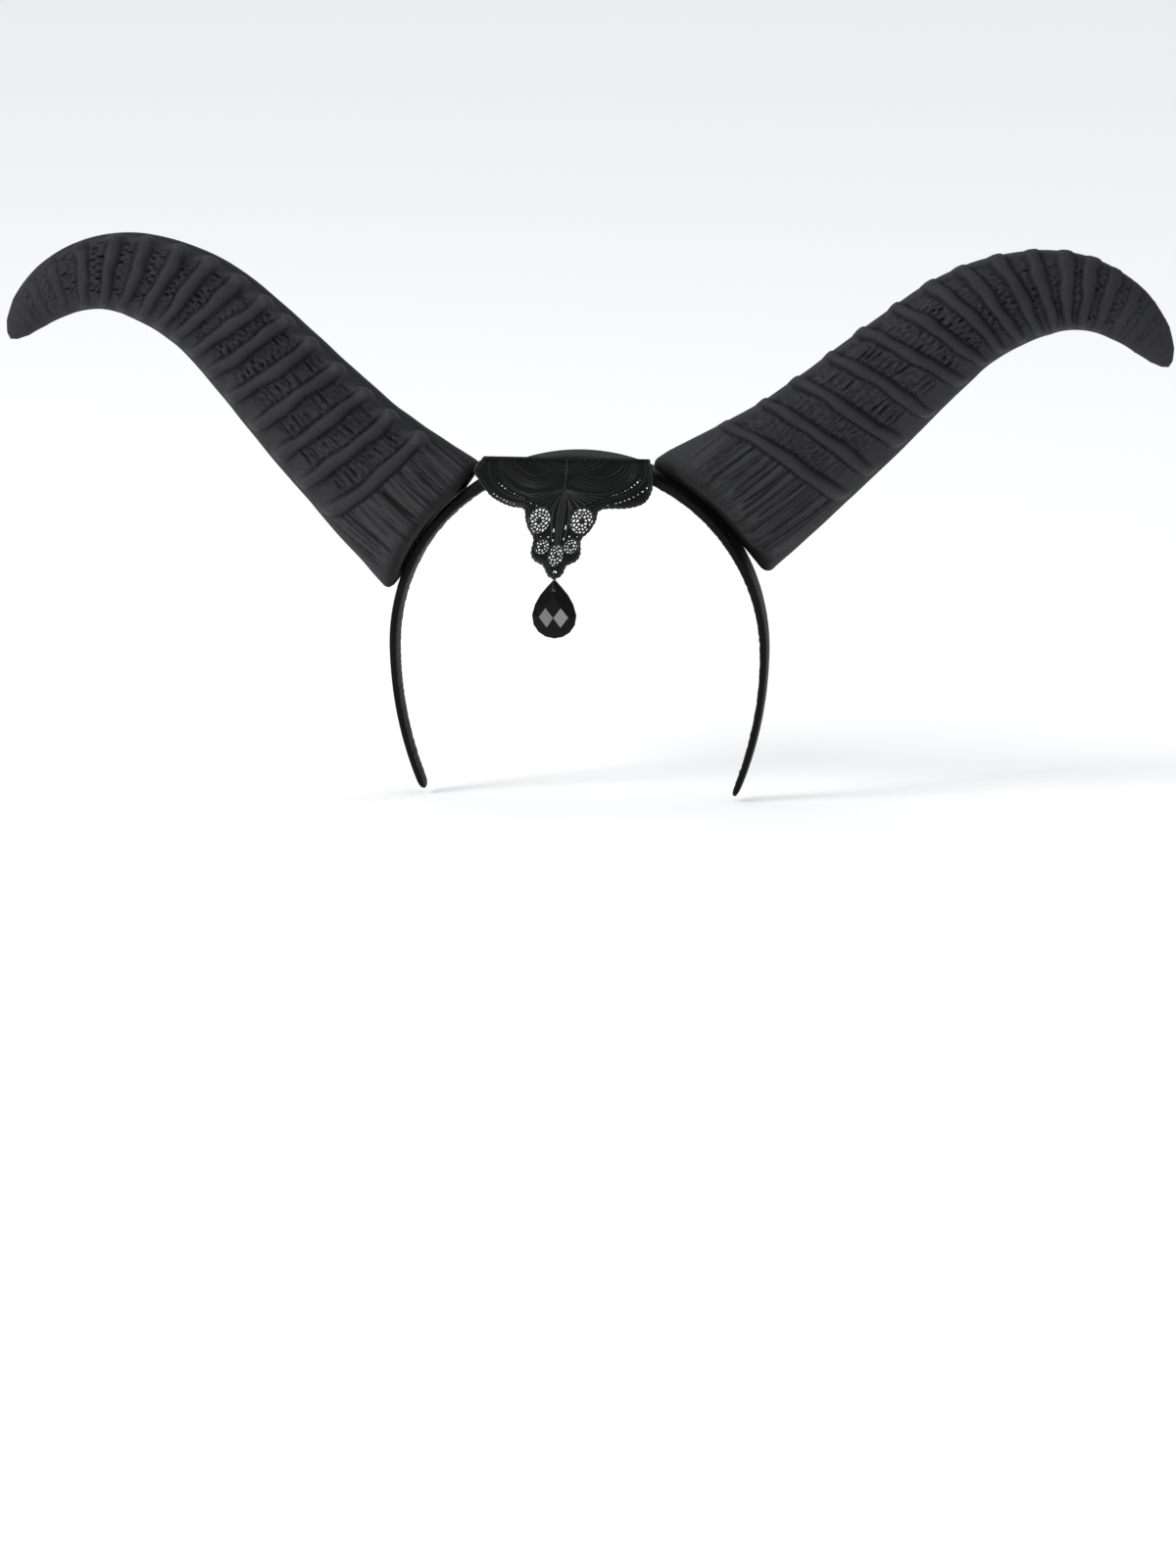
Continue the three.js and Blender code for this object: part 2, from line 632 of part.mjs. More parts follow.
function stoneGeometry() {
  const facets = [...middleFacets, ...sideFacets, ...sideFacets.map(mirrored)];
  const corners = [];
  const addTriangle = (a, b, c) => corners.push(a, b, c);
  facets.forEach((names) => {
    const front = names.map((name) => stoneCorner(name, -1));
    const back = names.map((name) => stoneCorner(name, 1)).reverse();
    [front, back].forEach((face) => {
      for (let k = 1; k < face.length - 1; k += 1) addTriangle(face[0], face[k], face[k + 1]);
    });
  });
  const rimCount = Object.keys(stonePoints).filter((name) => name.startsWith('rim')).length;
  const rightRim = Array.from({ length: rimCount }, (_, k) => `rim${k}`);
  const rim = [...rightRim, ...rightRim.slice(0, -1).reverse().map((name) => `-${name}`)];
  rim.forEach((name, k) => {
    const next = rim[(k + 1) % rim.length];
    addTriangle(stoneCorner(name, -1), stoneCorner(next, -1), stoneCorner(next, 1));
    addTriangle(stoneCorner(name, -1), stoneCorner(next, 1), stoneCorner(name, 1));
  });
  const holeRadius = THREAD_DIAMETER / 2 + THREAD_CLEARANCE;
  const drill = new THREE.CylinderGeometry(holeRadius, holeRadius, 2 * STONE_DEPTH, STONE_HOLE_SIDES);
  drill.translate(0, 0, STONE_HEIGHT - STONE_HOLE_DROP);
  const skin = facesOut(mergeVertices(new THREE.BufferGeometry().setFromPoints(corners), 1e-4));
  return toGeometry(toSolid(skin).subtract(toSolid(drill)));
}

// Thread: a closed loop round the bar of the lace and through the stone
function threadGeometry() {
  const radius = THREAD_DIAMETER / 2;
  const topRadius = Math.hypot(LACE_BAR, LACE_THICKNESS) / 2 + THREAD_CLEARANCE + radius;
  const footHalf = STONE_TIP_HALF_DEPTH + THREAD_CLEARANCE + radius;
  const foot = -(STONE_TIP_GAP + STONE_HOLE_DROP);
  const arc = [-90, -60, -30, 0, 30, 60, 90].map((degrees) => new THREE.Vector3(
    0, topRadius * Math.sin(radians(degrees)), topRadius * Math.cos(radians(degrees))));
  const points = [
    ...arc,
    new THREE.Vector3(0, footHalf, foot + THREAD_ROUNDING),
    new THREE.Vector3(0, footHalf - THREAD_ROUNDING, foot),
    new THREE.Vector3(0, -(footHalf - THREAD_ROUNDING), foot),
    new THREE.Vector3(0, -footHalf, foot + THREAD_ROUNDING),
  ];
  const rings = points.map((point, k) => {
    const before = points[(k + points.length - 1) % points.length];
    const after = points[(k + 1) % points.length];
    const tangent = after.clone().sub(before).normalize();
    const sideways = new THREE.Vector3(1, 0, 0);
    const outward = new THREE.Vector3().crossVectors(tangent, sideways);
    return Array.from({ length: THREAD_SIDES }, (_, j) => {
      const angle = 2 * Math.PI * j / THREAD_SIDES;
      return point.clone().addScaledVector(sideways, radius * Math.cos(angle))
        .addScaledVector(outward, radius * Math.sin(angle));
    });
  });
  return ringAround(rings);
}

// Closed skin over rings that meet end to end
function ringAround(rings) {
  const count = rings[0].length;
  const faces = [];
  rings.forEach((_, ring) => {
    const next = (ring + 1) % rings.length;
    for (let k = 0; k < count; k += 1) {
      const beside = (k + 1) % count;
      const a = ring * count + k;
      const b = ring * count + beside;
      const c = next * count + beside;
      const d = next * count + k;
      faces.push(a, b, c, a, c, d);
    }
  });
  const geometry = new THREE.BufferGeometry().setFromPoints(rings.flat());
  geometry.setIndex(faces);
  return facesOut(geometry);
}

// Assembly

function piece(name, geometry, finish) {
  const mesh = new THREE.Mesh(geometry, finish);
  mesh.name = name;
  return mesh;
}

const model = new THREE.Group();
model.add(piece('headband', headbandGeometry(), finishes.satin));
model.add(piece('horn_left', hornGeometry('left'), finishes.foam));
model.add(piece('horn_right', hornGeometry('right'), finishes.foam));
model.add(piece('lace_motif', laceGeometry(), finishes.lace));

const pendant = new THREE.Group();
pendant.position.copy(hinge);
const stone = piece('pear_stone', stoneGeometry(), finishes.acrylic);
stone.position.z = -STONE_TIP_GAP - STONE_HEIGHT;
pendant.add(stone);
pendant.add(piece('thread_loop', threadGeometry(), finishes.thread));
model.add(pendant);

export default model;
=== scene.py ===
# %% [markdown]
# A devil horn headband in foam, satin and lace.
# The headpiece is five things: a padded hoop covered in satin, two horns of moulded
# foam, a motif of embroidered lace on the front, and a black drop on a thread. The
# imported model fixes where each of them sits, and every cell below dresses one of them.

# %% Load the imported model
import math
import bpy
import numpy as np
from mathutils import Matrix, Vector


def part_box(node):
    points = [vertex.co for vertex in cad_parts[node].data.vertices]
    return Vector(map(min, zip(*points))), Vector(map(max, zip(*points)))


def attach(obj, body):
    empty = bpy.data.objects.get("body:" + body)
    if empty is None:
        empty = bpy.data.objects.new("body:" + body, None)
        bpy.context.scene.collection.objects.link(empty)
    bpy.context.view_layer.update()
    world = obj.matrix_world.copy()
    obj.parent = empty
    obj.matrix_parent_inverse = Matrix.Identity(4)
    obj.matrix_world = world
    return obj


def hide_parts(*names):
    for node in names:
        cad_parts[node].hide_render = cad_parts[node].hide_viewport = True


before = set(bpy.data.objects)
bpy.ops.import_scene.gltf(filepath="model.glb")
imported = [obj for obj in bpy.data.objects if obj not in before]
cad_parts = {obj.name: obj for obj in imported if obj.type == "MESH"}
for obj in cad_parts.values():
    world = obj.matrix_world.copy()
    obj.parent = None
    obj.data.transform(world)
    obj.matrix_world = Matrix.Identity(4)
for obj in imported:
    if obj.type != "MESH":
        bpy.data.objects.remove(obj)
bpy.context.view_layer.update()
MM = 0.001

# %% [markdown]
# The camera.
# The photo is taken from a little to the right of the front and a little above it, with
# a long lens, so the horns hardly shrink towards their tips. The camera could be placed
# by eye, but two angles and a distance can be compared with the photo one at a time. It
# looks at a point under the headband, because the horns fill the picture's upper half.

# %% Place the camera
VIEW_SIDE = math.radians(8)
VIEW_RISE = math.radians(8)
VIEW_DISTANCE = 2.4
LONG_LENS = 131.7
AIM_RIGHT = 3.7 * MM
AIM_DOWN = 133.8 * MM

toward_camera = Vector((
    math.sin(VIEW_SIDE) * math.cos(VIEW_RISE),
    -math.cos(VIEW_SIDE) * math.cos(VIEW_RISE),
    math.sin(VIEW_RISE),
))
camera_right = Vector((math.cos(VIEW_SIDE), math.sin(VIEW_SIDE), 0))
camera_up = toward_camera.cross(camera_right)
aim = camera_right * AIM_RIGHT - camera_up * AIM_DOWN

bpy.ops.object.select_all(action="DESELECT")
bpy.ops.object.camera_add(location=toward_camera * VIEW_DISTANCE)
camera = bpy.context.object
camera.name = "photo_camera"
camera.rotation_euler = (aim - camera.location).to_track_quat("-Z", "Y").to_euler()
camera.data.lens = LONG_LENS
camera.data.clip_end = 100
bpy.context.scene.camera = camera
print("camera at", [round(v, 3) for v in camera.location])

# %% [markdown]
# Floor and light.
# A product shot of black things needs light that wraps round them. A photographer builds
# a white tent, and a pale sky all round does the same here without a wall to model. One
# large soft lamp at the left gives the ribs their lit and shaded sides, and a weaker one
# from above draws the upper edges. The floor glows faintly, so that it stays near white.

# %% Make the floor
FLOOR_HEIGHT = -141.5 * MM
FLOOR_SIZE = 60
bpy.ops.object.select_all(action="DESELECT")
bpy.ops.mesh.primitive_plane_add(size=FLOOR_SIZE, location=(0, 0, FLOOR_HEIGHT))
floor = bpy.context.object
floor.name = "floor"
floor_paint = bpy.data.materials.new("floor_paint")
floor_paint.use_nodes = True
floor_shader = floor_paint.node_tree.nodes["Principled BSDF"]
floor_shader.inputs["Base Color"].default_value = (0.86, 0.86, 0.86, 1)
floor_shader.inputs["Roughness"].default_value = 0.9
floor_shader.inputs["Emission Color"].default_value = (1, 1, 1, 1)
floor_shader.inputs["Emission Strength"].default_value = 0.3
floor.data.materials.append(floor_paint)
print("floor at", round(FLOOR_HEIGHT / MM, 1), "mm")

# %% Light the scene
def soft_lamp(name, place, look_at, size, power):
    """A square lamp of that size in metres that faces a point, and that the camera doesn't see."""
    bpy.ops.object.select_all(action="DESELECT")
    bpy.ops.object.light_add(type="AREA", location=place)
    lamp = bpy.context.object
    lamp.name = name
    lamp.data.size = size
    lamp.data.energy = power
    lamp.visible_camera = False
    lamp.rotation_euler = (Vector(look_at) - Vector(place)).to_track_quat("-Z", "Y").to_euler()
    return lamp


studio_lamps = [
    # name, place and size in metres, power in watts
    ("key_lamp", (-2.3, -1.3, 1.7), 0.9, 46),
    ("top_lamp", (0.4, 0.5, 2.6), 1.2, 5),
]
for name, place, size, power in studio_lamps:
    soft_lamp(name, place, (0, 0, 0), size, power)

sky = bpy.data.worlds.new("pale_sky")
bpy.context.scene.world = sky
sky.use_nodes = True
sky_light = sky.node_tree.nodes["Background"]
sky_light.inputs["Color"].default_value = (0.96, 0.98, 1.0, 1)
sky_light.inputs["Strength"].default_value = 0.62
bpy.context.scene.view_settings.view_transform = "Standard"

# %% [markdown]
# Rolling up a grid.
# A horn and a padded hoop are both closed tubes whose section changes along the way. They
# could be swept along curves, but then the section couldn't change freely. A flat grid
# can be rolled up into any such tube: one direction of the grid runs along it and the
# other goes round it. The two long edges meet in a seam that is then merged, and a row
# that shrinks to a point closes an end. The grid also brings its own UV map, so that a
# finish can run along the tube.

# %% Helper that rolls up a grid
MERGE_WITHIN = 0.002 * MM


def rolled_grid(name, places, painted_shades):
    """A closed tube over rows of places in millimetres, which keeps at each the shading painted on it."""
    rows, columns = places.shape[:2]
    bpy.ops.object.select_all(action="DESELECT")
    bpy.ops.mesh.primitive_grid_add(x_subdivisions=columns, y_subdivisions=rows - 1, size=1)
    tube = bpy.context.object
    tube.name = name
    tube.data.name = name
    closed = np.concatenate([places, places[:, :1]], axis=1) * MM
    tube.data.vertices.foreach_set("co", closed.reshape(-1))
    painted_shading = tube.data.attributes.new("painted_shading", "FLOAT", "POINT")
    kept = np.concatenate([painted_shades, painted_shades[:, :1]], axis=1)
    painted_shading.data.foreach_set("value", kept.reshape(-1).astype(np.float32))
    tube.data.update()
    bpy.ops.object.mode_set(mode="EDIT")
    bpy.ops.mesh.select_all(action="SELECT")
    bpy.ops.mesh.remove_doubles(threshold=MERGE_WITHIN)
    bpy.ops.mesh.normals_make_consistent(inside=False)
    bpy.ops.object.mode_set(mode="OBJECT")
    bpy.ops.object.shade_smooth()
    return tube


print("points of a seam are merged within", MERGE_WITHIN / MM, "mm")

# %% [markdown]
# The hoop's path.
# The horns sit on the hoop, so its path comes first: half an ellipse over the crown
# and two long arcs down to the tips. Lengths are in millimetres from here on.

# %% Path of the hoop
BAND_HALF_SPAN = 78.4
BAND_RISE = 80.4
BAND_LEG_RADIUS = 158
BAND_LEG_LENGTH = 63.5
BAND_WIDTH = 26
BAND_THICKNESS = 5.2
BAND_CENTRE_Z = BAND_THICKNESS / 2 - BAND_RISE
SEAT_GAP = 0.3


def outer_reach(angle):
    """Distance from the middle of the widest line to the hoop's outer face."""
    span = BAND_HALF_SPAN + BAND_THICKNESS / 2
    height = BAND_RISE + BAND_THICKNESS / 2
    return 1 / np.hypot(np.cos(angle) / span, np.sin(angle) / height)


print("outer reach at the crown:", round(float(outer_reach(math.pi / 2)), 1), "mm")

# %% [markdown]
# The form of the horns.
# Both horns come out of one mould form and its mirror image: soft foam, thick and
# wide at the base, straight for half its length, then bent over to a bare tip. The form
# is a table of widths and turns along a bent middle line. Round it goes a section that
# is full in front and flatter behind.

# %% Middle line and widths of a horn
HORN_LENGTH = 232
HORN_WIDTH = 63
HORN_FRONT_DEPTH = 20
HORN_BACK_DEPTH = 16
HORN_FULLNESS = 0.86
HORN_SEAT_DEPTH = 2.9
horn_form = np.array([
    # share of the length, turn in degrees, share of the width
    (-0.1, -7, 1.08),
    (0.0, -7, 1.06),
    (0.07, -7.5, 0.99),
    (0.2, -3.5, 0.87),
    (0.36, 0, 0.785),
    (0.52, -2.7, 0.695),
    (0.62, -18.9, 0.64),
    (0.72, -34.5, 0.565),
    (0.8, -59, 0.475),
    (0.88, -81, 0.385),
    (0.94, -96.5, 0.285),
    (0.975, -102, 0.18),
    (0.993, -105, 0.085),
    (1.0, -106.5, 0),
])
line_s = np.linspace(-0.1, 1, 2201) * HORN_LENGTH
line_heading = np.radians(np.interp(line_s / HORN_LENGTH, horn_form[:, 0], horn_form[:, 1]))
line_step = line_s[1] - line_s[0]
line_x = np.concatenate([[0], np.cumsum(np.cos(line_heading[:-1]) * line_step)])
line_z = np.concatenate([[0], np.cumsum(np.sin(line_heading[:-1]) * line_step)])
line_x -= np.interp(0, line_s, line_x)
line_z -= np.interp(0, line_s, line_z)
print("horn: bends", round(float(line_z.min()), 1), "mm off its straight stretch")

# %% Places of the two horns
# round: degrees from the sideways direction to its root; beyond: mm outside the hoop's face
# rise, base and roll: degrees the horn rises, its base leans and it is rolled on its own line
# knuckles and inner_reach: turns in degrees from the front at which its bars end
# front_lift: mm by which the front of its base is lifted off the hoop
horns = {
    "left": dict(
        side=-1, round=39.6, beyond=-4.2, rise=47, base=36, roll=-3, seed=5, front_lift=0.8,
        knuckles=58, knuckle_height=3.6, inner_reach=-68, lined_fields=0, collar="scratched",
    ),
    "right": dict(
        side=1, round=45.1, beyond=-0.4, rise=42.4, base=46, roll=9, seed=8, front_lift=5.8,
        knuckles=79, knuckle_height=1.5, inner_reach=-64, lined_fields=2, collar="gouged",
    ),
}


def horn_root(horn, beyond):
    """Place on the hoop's outer face under a horn, moved outwards by a distance."""
    angle = math.radians(horn["round"])
    reach = float(outer_reach(angle)) + beyond
    return np.array([horn["side"] * reach * math.cos(angle), 0, reach * math.sin(angle) + BAND_CENTRE_Z])


def on_horn(s, angle, horn):
    """Places on a horn's plain skin, and on its middle line, for lengths and angles round it."""
    width = HORN_WIDTH * np.interp(s / HORN_LENGTH, horn_form[:, 0], horn_form[:, 2])
    depth = np.where(np.cos(angle) > 0, HORN_FRONT_DEPTH, HORN_BACK_DEPTH) * width / HORN_WIDTH
    outer = np.sin(angle) * width / 2
    proud = np.sign(np.cos(angle)) * np.abs(np.cos(angle)) ** HORN_FULLNESS * depth
    x, z = np.interp(s, line_s, line_x), np.interp(s, line_s, line_z)
    heading = np.interp(s, line_s, line_heading)
    skin = np.stack([x - np.sin(heading) * outer, -proud, z + np.cos(heading) * outer], axis=-1)
    middle = np.stack([x, np.zeros_like(x), z], axis=-1)
    return set_on_hoop(skin, horn), set_on_hoop(middle, horn)


def set_on_hoop(places, horn):
    """Turns places of the horn's own plane to where the horn stands on the hoop."""
    roll = Matrix.Rotation(math.radians(horn["roll"]), 3, "X")
    rise = Matrix.Rotation(-math.radians(horn["rise"]), 3, "Y")
    turned = places @ np.array(rise @ roll).T
    turned[..., 0] *= horn["side"]
    return turned + horn_root(horn, horn["beyond"])


tip, _ = on_horn(np.array([HORN_LENGTH]), np.array([0.0]), horns["right"])
print("tip of the right horn at", tip.round(1))

# %% [markdown]
# The seat of a horn.
# The base of each horn is cut to the curve of the hoop and its edge is rounded over, so
# that a dark crease shows between the two. A boolean could cut it, but would leave a
# ragged edge in the grid. Instead, each line along the horn is walked down until it meets
# the hoop, or the plane of the base beyond it, and the grid starts there.

# %% Find where each line along a horn meets the hoop
TINY = 1e-9
SEAT_SEARCH_FROM = -22
SEAT_SEARCH_TO = 26
SEAT_SEARCH_STEPS = 961


def beside_hoop(places):
    """Places from the middle of the hoop's widest line, and how far the hoop reaches towards them."""
    x, z = places[..., 0], places[..., 2] - BAND_CENTRE_Z
    return x, z, outer_reach(np.arctan2(z, np.abs(x))) + SEAT_GAP


def under_seat(places, horn):
    """True where a place lies inside the hoop's arch or behind the plane of the horn's base."""
    x, z, reach = beside_hoop(places)
    normal = math.radians(horn["base"])
    seat = horn_root(horn, -HORN_SEAT_DEPTH)
    beyond = (places[..., 0] - seat[0]) * horn["side"] * math.cos(normal)
    beyond = beyond + (places[..., 2] - seat[2]) * math.sin(normal)
    return (np.hypot(x, z) < reach) | (beyond < 0)


def seat_lengths(angle, horn):
    """Length along the horn at which each line round it leaves the seat."""
    s = np.linspace(SEAT_SEARCH_FROM, SEAT_SEARCH_TO, SEAT_SEARCH_STEPS)
    places, _ = on_horn(s[:, None] * np.ones_like(angle), np.ones_like(s)[:, None] * angle, horn)
    under = under_seat(places, horn)
    last = under.shape[0] - 1 - np.argmax(under[::-1], axis=0)
    return s[last]


def lift_to_seat(places):
    """Moves places that lie inside the hoop's arch out to its face."""
    x, z, reach = beside_hoop(places)
    grow = np.maximum(reach / np.maximum(np.hypot(x, z), TINY), 1)
    lifted = places.copy()
    lifted[..., 0] = x * grow
    lifted[..., 2] = z * grow + BAND_CENTRE_Z
    return lifted


for name, horn in horns.items():
    seat = seat_lengths(np.linspace(0, 2 * math.pi, 24), horn)
    print(name, "horn starts", seat.min().round(1), "to", seat.max().round(1), "mm along its line")

# %% [markdown]
# The relief of a horn.
# The mould gives the front of each horn its ribs: rounded bars with sunk fields between
# them. Each bar ends in a knuckle at the outer edge and runs out in a low lip at the
# inner one. The fields hold short pits, as if poked with a stick, and the collar under
# the first bar has grooves lengthwise. This could be sculpted with brushes, or pushed out
# by a texture, but every bar has a place of its own. So the relief is worked out as a
# height over the plain skin for every point of the grid, and added along the normal.

# %% Lines of the bars
bar_rows = np.array([
    # mm along the left horn at its outer edge, middle and inner edge, then along the right one
    (31.1, 32.8, 38.6, 27.7, 42.3, 47.4),
    (46.0, 49.1, 53.5, 47.1, 58.7, 62.2),
    (60.2, 64.8, 68.0, 64.1, 74.4, 78.6),
    (76.6, 80.5, 83.5, 81.9, 92.1, 95.8),
    (92.0, 94.9, 99.4, 98.1, 109.5, 115.4),
    (105.8, 109.2, 113.3, 115.0, 124.0, 129.3),
    (117.6, 120.9, 126.0, 128.8, 136.8, 141.2),
    (128.8, 132.6, 137.2, 140.5, 147.2, 151.6),
    (141.4, 143.8, 148.0, 152.5, 158.1, 162.0),
    (152.8, 154.6, 159.0, 164.2, 167.3, 170.6),
    (165.2, 166.0, 170.2, 175.0, 175.9, 178.0),
    (175.6, 177.4, 181.8, 183.0, 184.0, 185.6),
    (186.3, 188.6, 192.7, 191.4, 192.5, 193.7),
    (198.4, 200.3, 204.0, 199.8, 201.6, 202.8),
    (209.0, 210.5, 213.5, 208.2, 209.6, 211.0),
    (217.2, 218.5, 220.5, 215.6, 216.6, 218.0),
])
horns["left"]["bars"] = bar_rows[:, :3]
horns["right"]["bars"] = bar_rows[:, 3:]
OUTER_TURN = 74
INNER_TURN = -55
BAR_TURNS = (-75, 92)
bar_sizes = np.interp(np.arange(len(bar_rows)), [0, 8, 11, 12, 13, 15], [1, 0.85, 0.68, 0.5, 0.26, 0.1])


def bar_lines(turn, horn):
    """Place of the middle of every bar, at turns in degrees from the front up to the outer side."""
    outer, middle, inner = horn["bars"].T
    turn = np.clip(turn, *BAR_TURNS)[..., None]
    bend = ((outer - middle) / OUTER_TURN - (inner - middle) / INNER_TURN) / (OUTER_TURN - INNER_TURN)
    lean = (outer - middle) / OUTER_TURN - bend * OUTER_TURN
    number = np.arange(len(middle))
    wobble = 0.3 * np.sin(turn / 13 + 2.4 * number) + 0.18 * np.sin(turn / 5.5 + 4.1 * number)
    return middle + lean * turn + bend * turn ** 2 + wobble


print("bars on each horn:", len(bar_rows))

# %% Bars and the fields between them
BAR_HEIGHT = 1.9
BAR_HALF_WIDTH = 2.9
FIELD_DEPTH = 1.4
CREASE_DEPTH = 0.55


def ease(values):
    """Smooth step from 0 to 1."""
    share = np.clip(values, 0, 1)
    return share * share * (3 - 2 * share)


def bars_and_fields(s, turn, lines, horn):
    """Height of the bars and fields, how deep in a crease each place is, and its share of a field."""
    away = np.abs(s[..., None] - lines)
    nearest = away.argmin(axis=-1)
    near = np.take_along_axis(away, nearest[..., None], axis=-1)[..., 0]
    size = bar_sizes[nearest]
    half = BAR_HALF_WIDTH * (0.66 + 0.34 * size) * (1 + 0.08 * np.sin(turn / 9 + 3.3 * nearest))
    bar = np.clip(1 - (near / half) ** 2.4, 0, 1) ** 0.62
    top = horn["knuckles"]
    bar_reach = ease((top + 5 - turn) / 10) * ease((turn - horn["inner_reach"]) / 24)
    # Each field is deep in its middle, with scalloped ends, and shallow out to the ends of the bars
    between = ease((s - lines[..., 0]) / 1.5) * ease((lines[..., -1] - s) / 2)
    scallop = 5 * np.clip(near / 6, 0, 1)
    deep = between * ease((top - 9 + scallop - turn) / 7) * ease((turn + 38) / 14)
    shallow = between * ease((top - turn) / 11) * ease((turn + 66) / 26)
    sunk = FIELD_DEPTH * (1 - bar) * (0.45 * shallow + 0.55 * deep)
    crease = np.exp(-((near - half - 0.2) / 0.5) ** 2) * ease((top + 2 - turn) / 12)
    crease = crease * ease((turn + 60) / 24) * size ** 0.5
    height = size ** 1.3 * (BAR_HEIGHT * bar * bar_reach - sunk) - CREASE_DEPTH * crease
    return height, crease, deep * (1 - ease((half + 0.4 - near) / 0.8))


sample_s = np.linspace(0, HORN_LENGTH, 500)
sample_lines = bar_lines(np.zeros_like(sample_s), horns["right"])
sample, *_ = bars_and_fields(sample_s, np.zeros_like(sample_s), sample_lines, horns["right"])
print("relief down the middle from", sample.min().round(2), "to", sample.max().round(2), "mm")

# %% Knuckles and lips at the ends of the bars
LIP_TURN = -49
LIP_HEIGHT = 1.3


def from_oval(ahead, long, aside, wide):
    """How far places lie from the middle of an oval, squared, with 1 at its edge."""
    return (ahead / long) ** 2 + (aside / wide) ** 2


def knuckles_and_lips(s, turn, lines, horn):
    """Height of the lumps at both ends of the bars, and the painted highlight on them."""
    height, painted_highlight = np.zeros_like(s), np.zeros_like(s)
    top = horn["knuckles"]
    for number, size in enumerate(bar_sizes):
        ahead = s - lines[..., number]
        knuckle = from_oval(ahead + 0.3, 3.7 * size + 0.3, turn - top, 9.5)
        toe = from_oval(ahead - 4.2 * size, 2.4 * size + 0.2, turn - top + 5, 6)
        lip = from_oval(ahead - 1.6, 3.0 * size + 0.2, turn - LIP_TURN, 12)
        height += size * horn["knuckle_height"] * (np.exp(-knuckle ** 2) + 0.5 * np.exp(-toe))
        height += size * LIP_HEIGHT * np.exp(-lip ** 1.5)
        # Painted highlight on the knuckles and lips
        painted_highlight += size * (0.3 * np.exp(-knuckle ** 2) + 0.22 * np.exp(-lip))
    return height, painted_highlight


print("knuckles stand", [horn["knuckle_height"] for horn in horns.values()], "mm high")

# %% Pits in the fields
PIT_SPACING = 2.7
PIT_TURNS = (-31, 54)
ONE_ROW_FIELDS = 4
pit_kinds = {
    # spacing in mm; aside and long as shares of the field's half length; wide and deep in mm
    "lines": dict(spacing=1.5, aside=0, long=(0.75, 1.0), wide=(0.3, 0.42), deep=(0.1, 0.55), power=1),
    "one row": dict(
        spacing=PIT_SPACING, aside=0, long=(0.5, 0.8), wide=(0.42, 0.68), deep=(0.2, 1.25), power=1.5),
    "two rows": dict(
        spacing=0.55 * PIT_SPACING, aside=0.42, long=(0.26, 0.4), wide=(0.42, 0.68), deep=(0.2, 1.25),
        power=1.5),
}


def pits_of_field(off, room, turn, mm_per_degree, kind, share, draw):
    """Depth of the pits of one field, for lengths off its middle line and turns from the front."""
    spacing = kind["spacing"] / mm_per_degree
    depth = np.zeros_like(off)
    for k, stop in enumerate(np.arange(*PIT_TURNS, spacing)):
        stop = stop + draw.uniform(-0.3, 0.3) * spacing
        shift = (kind["aside"] if k % 2 else -kind["aside"]) + draw.uniform(-0.18, 0.18)
        long = draw.uniform(*kind["long"])
        wide = draw.uniform(*kind["wide"])
        deep = draw.uniform(*kind["deep"]) ** kind["power"]
        ahead = (off - shift * room) / (long * room)
        beside = (turn - stop) * mm_per_degree + draw.uniform(-0.12, 0.12) * off
        pit = np.exp(-np.abs(ahead) ** 3 - (beside / wide) ** 2)
        rim = np.exp(-(np.abs(ahead) / 1.25) ** 3 - ((np.abs(beside) - 1.7 * wide) / (0.8 * wide)) ** 2)
        depth += (deep * pit - 0.28 * deep * rim) * share
    return depth


def pits(s, turn, across, lines, draw, lined):
    """Depth of the pits poked into the fields. The first few fields hold fine lines instead."""
    depth = np.zeros_like(s)
    mm_per_degree = np.gradient(across, axis=1) / (np.gradient(turn, axis=1) + TINY)
    for number, size in enumerate(bar_sizes[:-1]):
        low, high = lines[..., number], lines[..., number + 1]
        middle, room = (low + high) / 2, (high - low) / 2 - BAR_HALF_WIDTH * (0.72 + 0.28 * size)
        here = (np.abs(s - middle) < room + 1.5) & (turn > -40) & (turn < 62)
        name = "lines" if number < lined else "one row" if number < ONE_ROW_FIELDS else "two rows"
        depth[here] += pits_of_field(
            s[here] - middle[here], room[here], turn[here], float(mm_per_degree[here].mean()),
            pit_kinds[name], min(1, 1.5 * size), draw)
    return depth


print("kinds of pits:", list(pit_kinds))

# %% Grooves of the collar
COLLAR_LENGTH = 34
COLLAR_HALF_ROUND = 90
GROOVE_START = 3.4
collar_kinds = {
    # height and painted shade of the fine lines; number, ends along the horn, widths and depths of
    # grooves
    "scratched": dict(lines=0.6, dark=0.5, grooves=9, ends=(7, 14), wide=(0.3, 0.5), deep=(0.3, 0.7)),
    "gouged": dict(lines=0.34, dark=0.3, grooves=15, ends=(7, 17), wide=(0.32, 0.6), deep=(0.4, 1.1)),
}


def wavering_lines(across, s, draw, spacing, drift):
    """Fine lines along the horn whose depth wavers from -1 to 1."""
    stops = np.arange(-COLLAR_HALF_ROUND, COLLAR_HALF_ROUND, spacing)
    near_base, halfway, near_bar = draw.uniform(-1, 1, (3, len(stops)))
    share = np.clip(s / COLLAR_LENGTH, 0, 1)
    bent = across + drift * np.sin(s / 9 + across / 13)
    low = np.interp(bent, stops, near_base) * np.clip(1 - 2 * share, 0, 1)
    mid = np.interp(bent, stops, halfway) * (1 - np.abs(2 * share - 1))
    return low + mid + np.interp(bent, stops, near_bar) * np.clip(2 * share - 1, 0, 1)


